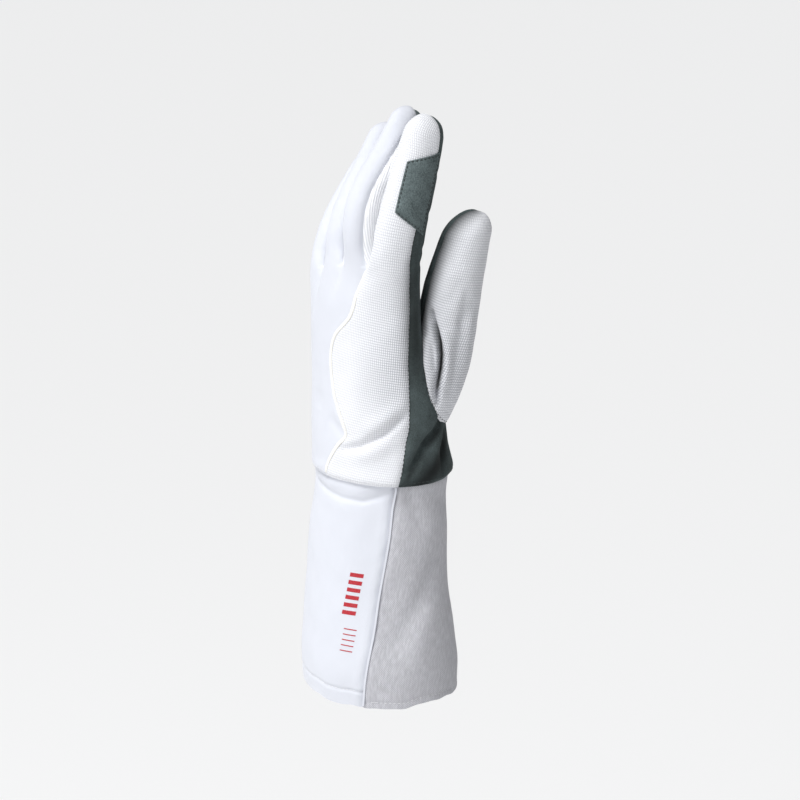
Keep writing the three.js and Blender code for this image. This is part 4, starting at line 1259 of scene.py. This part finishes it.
# %% Cuff panels
CUFF_WALL = 1.8
HEM_HEIGHT = 9
HEM_WALL = 1.2
SEAM_GAP = 0.3
MOUTH_WAVES = [(0.7, 3, 0.0), (0.4, 7, 1.0), (0.28, 13, 0.4), (0.16, 23, 2.0)]
MOUTH_CLIMB = 2.5
MOUTH_LOW_ANGLE = 10
MOUTH_FADE_Z = 40


def mouth_drop(angle):
    """A tilt and a few sine waves round the mouth."""
    turn = np.radians(angle)
    tilt = -MOUTH_CLIMB * (1 - np.cos(turn - math.radians(MOUTH_LOW_ANGLE)))
    return tilt + sum(height * np.sin(turns * turn + shift) for height, turns, shift in MOUTH_WAVES)


def cuff_point(angle, z):
    """The cuff's oval, with the mouth's unevenness fading out above it."""
    point = oval_point(cuff, angle, z)
    point[..., 2] -= mouth_drop(angle) * (1 - smooth_step(z, 0, MOUTH_FADE_Z))
    return point


CUFF_ROWS = 170
CUFF_WAVES = [(0.45, 40, 22), (0.14, 14, 23)]
SEWN_LINE_WIDTH = 0.9
CUFF_FOLDS = [
    ([(-42, 127), (-30.8, 124.2), (-15.4, 122.2), (6.8, 120.2), (27, 120.2), (44.2, 124.6), (54, 129.5)],
     0.95, 1.7),
    ([(-36, 129), (-10, 127), (20, 125.5), (40, 129)], -0.5, 2.6),
    ([(-30, 118), (0, 114), (30, 114)], -0.25, 4.0),
    ([(66, 127), (72, 116), (84, 104)], 1.3, 4.0),
    ([(110, 92), (92, 76), (72, 56), (52, 34)], 1.7, 7.0),
    ([(62, 118), (60, 96), (58, 76)], -1.0, 6.0),
    ([(90, 60), (76, 40), (70, 18)], -1.3, 8.0),
    ([(200, 120), (205, 90), (200, 60)], 1.2, 9.0),
    ([(160, 118), (168, 80), (160, 40)], -1.0, 9.0),
    ([(-70, 110), (-64, 80), (-70, 40)], 0.9, 9.0),
]


def cuff_relief(points, distance, z, sewn_lines):
    """Seams at both sides, sewn lines, each a (height, depth), slow waves and folds."""
    relief = seam_relief(distance, points, seed=21)
    for height, depth in sewn_lines:
        relief -= depth * np.exp(-((z - height) / SEWN_LINE_WIDTH) ** 2)
    return relief + unevenness(points, CUFF_WAVES) - fold_depth(points, cuff_point, CUFF_FOLDS)


def cuff_piece(node, turns, heights, inset, wall, cloth_name, cells, rows=CUFF_ROWS, sewn_lines=None):
    """Grid between two lines of angle and two heights, set inwards by the inset. Where sewn lines are given,
    the relief moves it too; without them it lies as it is."""
    z = np.linspace(*heights, rows + 1)[:, None] + np.zeros((1, cells + 1))
    from_angle, to_angle = (turn(z) for turn in turns)
    angle = from_angle + (to_angle - from_angle) * np.linspace(0, 1, cells + 1)
    grid = cuff_point(angle, z)
    from_start, to_end = grid_lengths(grid)
    points = grid.reshape(-1, 3)
    faces = grid_faces(rows + 1, cells + 1)
    normals = vertex_normals(points, faces)
    points = points - normals * inset
    if sewn_lines:
        relief = cuff_relief(points, np.minimum(from_start, to_end).ravel(), z.ravel(), sewn_lines)
        points = points + normals * relief[:, None]
    cloth = np.stack([from_start.ravel(), z.ravel()], -1)
    normals = vertex_normals(points, faces)
    piece = cloth_piece(node + "_cloth", points, normals, faces, cloth[faces], wall, MATERIALS[cloth_name])
    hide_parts(node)


def radial_seam(z):
    """The cuff's seam on the thumb side."""
    return cuff("seam", z)


def upright(angle):
    """A line up the cuff that keeps its angle."""
    return lambda z: angle + 0 * z


BACK_SEWN_LINE = (9.0, 0.6)
FRONT_SEWN_LINE = (3.5, 0.35)
HEM_GAP_TURN = 0.4
cuff_piece("cuff_back", (upright(CUFF_ULNAR_SEAM), radial_seam), (0, CUFF_TOP), 0, CUFF_WALL, "smooth_knit",
           cells=130, sewn_lines=[BACK_SEWN_LINE])
cuff_piece("cuff_front", (radial_seam, upright(360 + CUFF_ULNAR_SEAM)), (0, CUFF_TOP), 0, CUFF_WALL, "woven",
           cells=170, sewn_lines=[FRONT_SEWN_LINE])
hem_turns = upright(CUFF_ULNAR_SEAM + HEM_GAP_TURN), upright(360 - HEM_GAP_TURN + CUFF_ULNAR_SEAM)
cuff_piece("cuff_hem", hem_turns, (0, HEM_HEIGHT), CUFF_WALL + SEAM_GAP, HEM_WALL, "woven", cells=160, rows=6)

# %% [markdown]
# A narrow bright tape covers the cuff's seam on the thumb side. The cuff's own function makes it, with a
# small width and an inset that points outwards, so it fits the sleeve exactly.

# %% Cuff piping
PIPING_WIDTH = 1.3
PIPING_WALL = 0.6
PIPING_SEAM_TURN = 0.5
PIPING_LOW_Z = 1.5
PIPING_TOP_GAP = 0.6


def piping_start(z):
    """The tape begins just past the seam."""
    return radial_seam(z) + PIPING_SEAM_TURN


def piping_stop(z):
    """The tape's width as an angle is the width over the cuff's radius."""
    return piping_start(z) + np.degrees(PIPING_WIDTH / cuff("halfWidth", z))


cuff_piece("cuff_piping", (piping_start, piping_stop), (PIPING_LOW_Z, WRIST_Z - PIPING_TOP_GAP),
           -SEAM_GAP - PIPING_WALL, PIPING_WALL, "smooth_knit", cells=8)

# %% [markdown]
# A suede patch guards the outer side of the index finger. It lies on the knit, so it isn't cut from the
# skin: its four corners are given as an angle round the finger and a share along it, everything between is
# mixed from them, and the whole is lifted along the finger's normals.

# %% Index patch
PATCH_WALL = 1.0
PATCH_ROWS, PATCH_CELLS = 90, 60
PATCH_LIFT = 1.35
PATCH_WAVES = [(0.25, 9, 31)]
PATCH_STITCH_INSET = 1.1
STITCH_GROOVE, STITCH_GROOVE_WIDTH = 0.4, 0.45
CUT_EDGE_DROP, CUT_EDGE_WIDTH = 0.45, 0.5
PATCH_CORNERS = dict(low_left=(33, 0.35), low_right=(112, 0.24), high_left=(29, 0.67), high_right=(118, 0.79))


def patch_place(s, t):
    """Bilinear mix of the four corners: s to the right, t upwards."""
    corners = {name: np.array(value) for name, value in PATCH_CORNERS.items()}
    low = corners["low_left"] + (corners["low_right"] - corners["low_left"]) * s[..., None]
    high = corners["high_left"] + (corners["high_right"] - corners["high_left"]) * s[..., None]
    mixed = low + (high - low) * t[..., None]
    return mixed[..., 0], mixed[..., 1]


s, t = np.meshgrid(np.linspace(0, 1, PATCH_CELLS + 1), np.linspace(0, 1, PATCH_ROWS + 1))
patch_angle, patch_along = patch_place(s, t)
patch_grid = finger_point(FINGERS[0], patch_angle, 0, patch_along)
patch_faces = grid_faces(*s.shape)
patch_points = patch_grid.reshape(-1, 3)
from_left, from_right = grid_lengths(patch_grid)
from_low = length_so_far(patch_grid)
from_high = from_low[-1:] - from_low
patch_edge = np.min([from_left, from_right, from_low, from_high], axis=0).ravel()
patch_lift = PATCH_LIFT + unevenness(patch_points, PATCH_WAVES)
patch_lift -= STITCH_GROOVE * np.exp(-((patch_edge - PATCH_STITCH_INSET) / STITCH_GROOVE_WIDTH) ** 2)
patch_lift -= CUT_EDGE_DROP * np.exp(-(patch_edge / CUT_EDGE_WIDTH) ** 2)
patch_points = patch_points + vertex_normals(patch_points, patch_faces) * patch_lift[:, None]
patch_normals = vertex_normals(patch_points, patch_faces)
patch_cloth = np.stack([from_left.ravel(), from_low.ravel()], -1)
patch = cloth_piece("index_patch_cloth", patch_points, patch_normals, patch_faces, patch_cloth[patch_faces],
                    PATCH_WALL, MATERIALS["worn_suede"])
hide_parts("index_patch")

# %% [markdown]
# The seam between the two back panels is turned outwards and forms a low round welt. It is a tube with a
# flattened ring, carried along the seam's vertices and thinned towards both ends.

# %% Raised back seam
WELT_WIDTH = 2.5
WELT_HEIGHT = 0.42
WELT_SINK = 0.12
WELT_UNDERSIDE = 0.35
WELT_AROUND = 14
WELT_GIRTH = 2.4 * WELT_WIDTH
WELT_TAPER = 3.0
WELT_THINNEST = 0.02
NO_EDGES = np.zeros((0, 2), int)


def tube_piece(name, points, along, girth, material):
    """Closed tubes. Points holds a ring of places for each station of each tube, and the UV map has the way
    round the girth as u and the way along as v."""
    index = np.arange(points[..., 0].size).reshape(points.shape[:3])
    following = np.roll(index, -1, axis=2)
    quads = np.stack([index[:, :-1], index[:, 1:], following[:, 1:], following[:, :-1]], -1).reshape(-1, 4)
    caps = np.concatenate([index[:, 0], index[:, -1, ::-1]])
    around = points.shape[2]
    u = np.broadcast_to(np.arange(around) * girth / around, index.shape).ravel()
    v = np.broadcast_to(along[..., None], index.shape).ravel()
    cloth = np.stack([u, v], -1)[np.concatenate([quads.ravel(), caps.ravel()])]
    faces = quads.tolist() + caps.tolist()
    return add_piece(name, points.reshape(-1, 3), faces, cloth, NO_EDGES, material)


def welt_rings(line, outward):
    """Rings of (cos, sin) whose underside is cut flat. Sideways is the line's way crossed with outward."""
    side = np.cross(np.gradient(line, axis=0), outward)
    side /= np.linalg.norm(side, axis=1, keepdims=True)
    length = length_so_far(line)
    taper = np.sqrt(np.clip(np.minimum(length, length[-1] - length) / WELT_TAPER, WELT_THINNEST, 1))
    turn = -np.arange(WELT_AROUND) / WELT_AROUND * 2 * np.pi
    sideways = np.cos(turn) * 0.5 * WELT_WIDTH * taper[:, None]
    above = WELT_UNDERSIDE + np.maximum(np.sin(turn), -WELT_UNDERSIDE)
    lift = above * WELT_HEIGHT * taper[:, None] - WELT_SINK
    return line[:, None] + side[:, None] * sideways[..., None] + outward[:, None] * lift[..., None]


def hand_grid(column, strip):
    """Vertices of the welded skin, by row and column, that one strip was made of."""
    return next(s for s in sheets if s["column"] == column and s["strip"] == strip)["vertices"]


ridge = hand_grid(0, "back")[1:HAND_ROWS, 0]
back_seam = tube_piece("back_seam_cloth", welt_rings(skin[ridge], skin_normals[ridge])[None],
                       length_so_far(skin[ridge])[None], WELT_GIRTH, MATERIALS["tape"])
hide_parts("back_seam")

# %% [markdown]
# Stitching is made as real thread: each stitch comes up out of the cloth, runs a little way along the seam
# and goes down again. One function places a whole row of them along a line on the cloth, all at once.

# %% Rows of stitches
STITCH_STATIONS = 5
STITCH_SIDES = 6
STITCH_STEP = 2.6
STITCH_LENGTH = 1.9
SEAM_STITCH_LENGTH = 1.7
THREAD_RADIUS = 0.2
THREAD_END = 0.6
STITCH_RISE, STITCH_SINK = 1.9, 1.1


def along_line(line, reach, at):
    """Points at given lengths along a line, coordinate by coordinate."""
    return np.stack([np.interp(at, reach, line[:, k]) for k in range(3)], -1)


def stitch_row(name, line, outward, thread, pitch=STITCH_STEP, length=STITCH_LENGTH,
               radius=THREAD_RADIUS):
    """Short bent tubes: the middle of each stands out of the cloth, and both ends are under it. The arch is
    the sine of the way along, and it also makes the middle thicker."""
    reach = length_so_far(line)
    count = int(reach[-1] / pitch)
    share = np.linspace(0, 1, STITCH_STATIONS)
    at = (np.arange(count) * pitch + 0.5 * (pitch - length))[:, None] + length * share
    centre = along_line(line, reach, at)
    out = along_line(outward, reach, at)
    out /= np.linalg.norm(out, axis=-1, keepdims=True)
    side = np.cross(np.gradient(centre, axis=1), out)
    side /= np.linalg.norm(side, axis=-1, keepdims=True)
    arch = np.sin(np.pi * share)
    turn = 2 * np.pi * np.arange(STITCH_SIDES) / STITCH_SIDES
    ring = side[:, :, None] * np.cos(turn)[:, None] + out[:, :, None] * np.sin(turn)[:, None]
    thick = radius * (THREAD_END + (1 - THREAD_END) * arch)
    height = radius * (STITCH_RISE * arch - STITCH_SINK)
    points = centre[:, :, None] + ring * thick[:, None, None] + (out * height[:, None])[:, :, None]
    print(name, count, "stitches")
    return tube_piece(name, points, at, 2 * np.pi * radius, MATERIALS[thread])


print("a stitch is", STITCH_LENGTH, "mm long, and the next begins", STITCH_STEP, "mm on")

# %% [markdown]
# The index patch is sewn on with dark thread a little inside its edge, all the way round. The line is read
# from the patch's own surface, so the stitches sit in the groove that the thread pulls into it.

# %% Patch stitches
PATCH_SIDE_STEPS = 60


def grid_line(grid, shares):
    """Places on a grid at shares of its height and width, mixed from the four nearest points."""
    steps = np.array(grid.shape[:2]) - 1
    place = shares * steps
    j, k = np.clip(np.floor(place).astype(int), 0, steps - 1).T
    a, b = (place[:, 0] - j)[:, None], (place[:, 1] - k)[:, None]
    low = grid[j, k] * (1 - b) + grid[j, k + 1] * b
    high = grid[j + 1, k] * (1 - b) + grid[j + 1, k + 1] * b
    return low * (1 - a) + high * a


low, left = PATCH_STITCH_INSET / np.array([from_low[-1].mean(), (from_left + from_right).mean()])
corners = [(low, left), (low, 1 - left), (1 - low, 1 - left), (1 - low, left), (low, left)]
sides = [np.linspace(start, stop, PATCH_SIDE_STEPS) for start, stop in zip(corners, corners[1:])]
shares = np.concatenate([sides[0]] + [side[1:] for side in sides[1:]])
stitch_row("patch_stitches", grid_line(patch_points.reshape(patch_grid.shape), shares),
           grid_line(patch_normals.reshape(patch_grid.shape), shares), "dark_thread", pitch=2.5,
           radius=0.29)

# %% [markdown]
# Dark thread also joins the knit to the suede: along the outer side of the hand it lies in the groove of the
# seam, and round the foot of the thumb it runs a little above the edge.

# %% Seam stitches
SEAM_STITCH_ROWS = slice(4, HAND_ROWS + CROTCH_ROWS + 20)
THUMB_STITCH_PLACE = (3, slice(3, -3))
outer_seam = hand_grid(0, "palm")[SEAM_STITCH_ROWS, 0]
stitch_row("outer_seam_stitches", skin[outer_seam], skin_normals[outer_seam], "dark_thread",
           length=SEAM_STITCH_LENGTH, radius=0.3)
stitch_row("thumb_foot_stitches", thumb_surface[THUMB_STITCH_PLACE], thumb_normals[THUMB_STITCH_PLACE],
           "dark_thread", length=SEAM_STITCH_LENGTH, radius=0.22)

# %% [markdown]
# The hand's lower edge is turned in and sewn all round, in white thread on the back and in dark thread on
# the palm. The row of stitches follows a row of the skin's vertices.

# %% Hem stitches
HEM_ROW = 2


def hem_line(strip, columns):
    """Vertices of one row of the hand's skin, from strip to strip."""
    rows = [hand_grid(column, strip)[HEM_ROW] for column in columns]
    return np.concatenate([rows[0]] + [row[1:] for row in rows[1:]])


back_hem = hem_line("back", (3, 2, 1, 0))
palm_hem = hem_line("palm", (0, 1, 2, 3))
stitch_row("hand_hem_stitches", skin[back_hem], skin_normals[back_hem], "white_thread")
stitch_row("palm_hem_stitches", skin[palm_hem], skin_normals[palm_hem], "dark_thread")

# %% [markdown]
# The cuff's mouth has a sewn line too, higher on the back than on the front. Its place on the moved cloth is
# worked out with the same relief as the cuff's own.

# %% Mouth stitches
MOUTH_STEPS = 400
SEAM_CLEARANCE = 1.5


def cuff_outward(angle, z):
    """Unit normal of the cuff's oval section."""
    turn = np.radians(angle)
    out = np.stack([cuff("halfDepth", z) * np.sin(turn), -cuff("halfWidth", z) * np.cos(turn), 0 * z], -1)
    return out / np.linalg.norm(out, axis=1, keepdims=True)


def mouth_row(name, from_angle, to_angle, sewn_line):
    """Stitches along a sewn line, given as its height and its depth."""
    angle = np.linspace(from_angle, to_angle, MOUTH_STEPS)
    z = sewn_line[0] + 0 * angle
    points, out = cuff_point(angle, z), cuff_outward(angle, z)
    reach = length_so_far(points)
    relief = cuff_relief(points, np.minimum(reach, reach[-1] - reach), z, [sewn_line])
    stitch_row(name, points + out * relief[:, None], out, "white_thread")


seam_low = float(radial_seam(np.array(5.0)))
mouth_row("mouth_stitches_back", CUFF_ULNAR_SEAM + SEAM_CLEARANCE, seam_low - SEAM_CLEARANCE, BACK_SEWN_LINE)
mouth_row("mouth_stitches_front", seam_low + 2 * SEAM_CLEARANCE, 360 - SEAM_CLEARANCE + CUFF_ULNAR_SEAM,
          FRONT_SEWN_LINE)

# %% [markdown]
# The cuff's back is decorated with two rows of plain red blocks that mean nothing. They are printed, so they
# are a thin film that lies on the knit and follows its waves.

# %% Red print
PRINT_FILM = 0.12
BLOCK_CELLS = 6
# Each row: its start and stop as (angle, z), its width, its number of blocks and the share they fill
PRINT_ROWS = [((25.5, 79.4), (18.7, 52.3), 9.0, 6, 0.52), ((21.0, 46.6), (17.2, 30.4), 8.6, 5, 0.17)]


def print_blocks(start, stop, width, blocks, fill):
    """Blocks along a line on the cuff: each a small grid of points, as angle and height."""
    s, t = np.meshgrid(np.linspace(-0.5, 0.5, BLOCK_CELLS + 1), np.linspace(0, fill, BLOCK_CELLS + 1))
    along = (np.arange(blocks)[:, None, None] + 0.5 * (1 - fill) + t) / blocks
    angle = start[0] + (stop[0] - start[0]) * along
    z = start[1] + (stop[1] - start[1]) * along
    angle = angle + np.degrees(width * s / cuff("halfWidth", z))
    return angle.ravel(), z.ravel()


def print_piece(name, rows):
    """Closed film over all blocks of all rows, a little above the cuff's cloth."""
    placed = [print_blocks(*row) for row in rows]
    angle, z = (np.concatenate([p[k] for p in placed]) for k in range(2))
    points, out = cuff_point(angle, z), cuff_outward(angle, z)
    relief = cuff_relief(points, NO_SEAM + 0 * z, z, sewn_lines=[])
    points = points + out * (relief + PRINT_FILM)[:, None]
    block = grid_faces(BLOCK_CELLS + 1, BLOCK_CELLS + 1)[:, ::-1]
    first = np.arange(0, len(points), (BLOCK_CELLS + 1) ** 2)
    faces = (block[None] + first[:, None, None]).reshape(-1, 4)
    cloth = np.stack([cuff("halfWidth", z) * np.radians(angle), z], -1)
    cloth_piece(name, points, out, faces, cloth[faces], 2 * PRINT_FILM, MATERIALS["red_print"])


print_piece("cuff_print", PRINT_ROWS)

# %% [markdown]
# The camera looks at the glove's middle from the thumb side of its back, a little from above. Its long lens
# and its distance give the slight perspective of a product picture.

# %% Camera
AZIMUTH = 48
ELEVATION = 13
DISTANCE = 1.5
LENS = 117
AIM_HEIGHT = 0.172
AIM_ASIDE = 0.0115
to_right = np.array([math.cos(math.radians(AZIMUTH)), math.sin(math.radians(AZIMUTH)), 0])
AIM = np.array([0.001, 0.0, AIM_HEIGHT]) + to_right * AIM_ASIDE


def towards(azimuth, elevation):
    """Unit vector to a place at this azimuth and elevation, both in degrees."""
    azimuth, elevation = math.radians(azimuth), math.radians(elevation)
    return np.array([math.sin(azimuth) * math.cos(elevation), -math.cos(azimuth) * math.cos(elevation),
                     math.sin(elevation)])


def look_at(thing, place, target):
    """Puts a camera or a lamp at a place, turned so that its -Z axis meets the target."""
    thing.location = place
    thing.rotation_euler = (Vector(place) - Vector(target)).to_track_quat("Z", "Y").to_euler()
    bpy.context.scene.collection.objects.link(thing)


camera_data = bpy.data.cameras.new("camera")
camera_data.lens = LENS
camera_data.sensor_width = 36
camera = bpy.data.objects.new("camera", camera_data)
look_at(camera, AIM + towards(AZIMUTH, ELEVATION) * DISTANCE, AIM)
bpy.context.scene.camera = camera
print("camera at", [round(x, 3) for x in camera.location])

# %% [markdown]
# Two large soft lamps stand on the left of the camera and brighten the back of the hand, so the thumb and
# the cuff's front fall into a soft shade. A wide high lamp whitens the floor. The glove is held up without a
# visible stand, so the floor lies well below it.

# %% Lamps, room and floor
FLOOR_Z = -0.55
FLOOR_REACH = 60
HIGH_LAMP_POWER = 2.85
HIGH_LAMP_SPREAD = 30
ROOM_POWER = 0.2
ROOM_TINT = (0.96, 0.975, 1.0, 1)
ROOM_TONE = (0.86, 0.87, 0.87, 1)
FLOOR_TONE = (0.9, 0.9, 0.9, 1)


def soft_lamp(name, azimuth, elevation, distance, size, power, tint):
    """Round area lamp that faces the glove from this azimuth, elevation and distance."""
    lamp_data = bpy.data.lights.new(name, "AREA")
    lamp_data.shape = "DISK"
    lamp_data.size = size
    lamp_data.energy = power
    lamp_data.color = tint
    lamp = bpy.data.objects.new(name, lamp_data)
    look_at(lamp, AIM + towards(azimuth, elevation) * distance, AIM)


soft_lamp("key_lamp", 15, 22, 1.7, 0.9, 5.5, (0.975, 0.985, 1.0))
soft_lamp("side_lamp", -50, 12, 1.9, 1.4, 3.2, (0.96, 0.98, 1.0))

sun_data = bpy.data.lights.new("high_lamp", "SUN")
sun_data.energy = HIGH_LAMP_POWER
sun_data.angle = math.radians(HIGH_LAMP_SPREAD)
sun = bpy.data.objects.new("high_lamp", sun_data)
look_at(sun, towards(2, 60) * 3, (0, 0, 0))

# The room lights the glove weakly, and seen beyond the floor's end it is as pale as the floor
world = bpy.data.worlds.new("studio")
world.use_nodes = True
room = world.node_tree
room_light = room.nodes["Background"]
room_light.inputs["Color"].default_value = ROOM_TINT
room_light.inputs["Strength"].default_value = ROOM_POWER
room_wall = room.nodes.new("ShaderNodeBackground")
room_wall.inputs["Color"].default_value = ROOM_TONE
room_choice = room.nodes.new("ShaderNodeMixShader")
room.links.new(room.nodes.new("ShaderNodeLightPath").outputs["Is Camera Ray"], room_choice.inputs[0])
room.links.new(room_light.outputs[0], room_choice.inputs[1])
room.links.new(room_wall.outputs[0], room_choice.inputs[2])
room.links.new(room_choice.outputs[0], room.nodes["World Output"].inputs["Surface"])
bpy.context.scene.world = world
bpy.context.scene.view_settings.view_transform = "Standard"

floor_mesh = bpy.data.meshes.new("floor")
corners = [(-1, -1), (1, -1), (1, 1), (-1, 1)]
floor_mesh.from_pydata([(x * FLOOR_REACH, y * FLOOR_REACH, FLOOR_Z) for x, y in corners], [], [(0, 1, 2, 3)])
floor = bpy.data.objects.new("floor", floor_mesh)
bpy.context.scene.collection.objects.link(floor)
floor_finish = bpy.data.materials.new("floor_paint")
floor_finish.use_nodes = True
paint = floor_finish.node_tree.nodes["Principled BSDF"]
paint.inputs["Base Color"].default_value = FLOOR_TONE
paint.inputs["Roughness"].default_value = 0.9
floor_mesh.materials.append(floor_finish)

# %% [markdown]
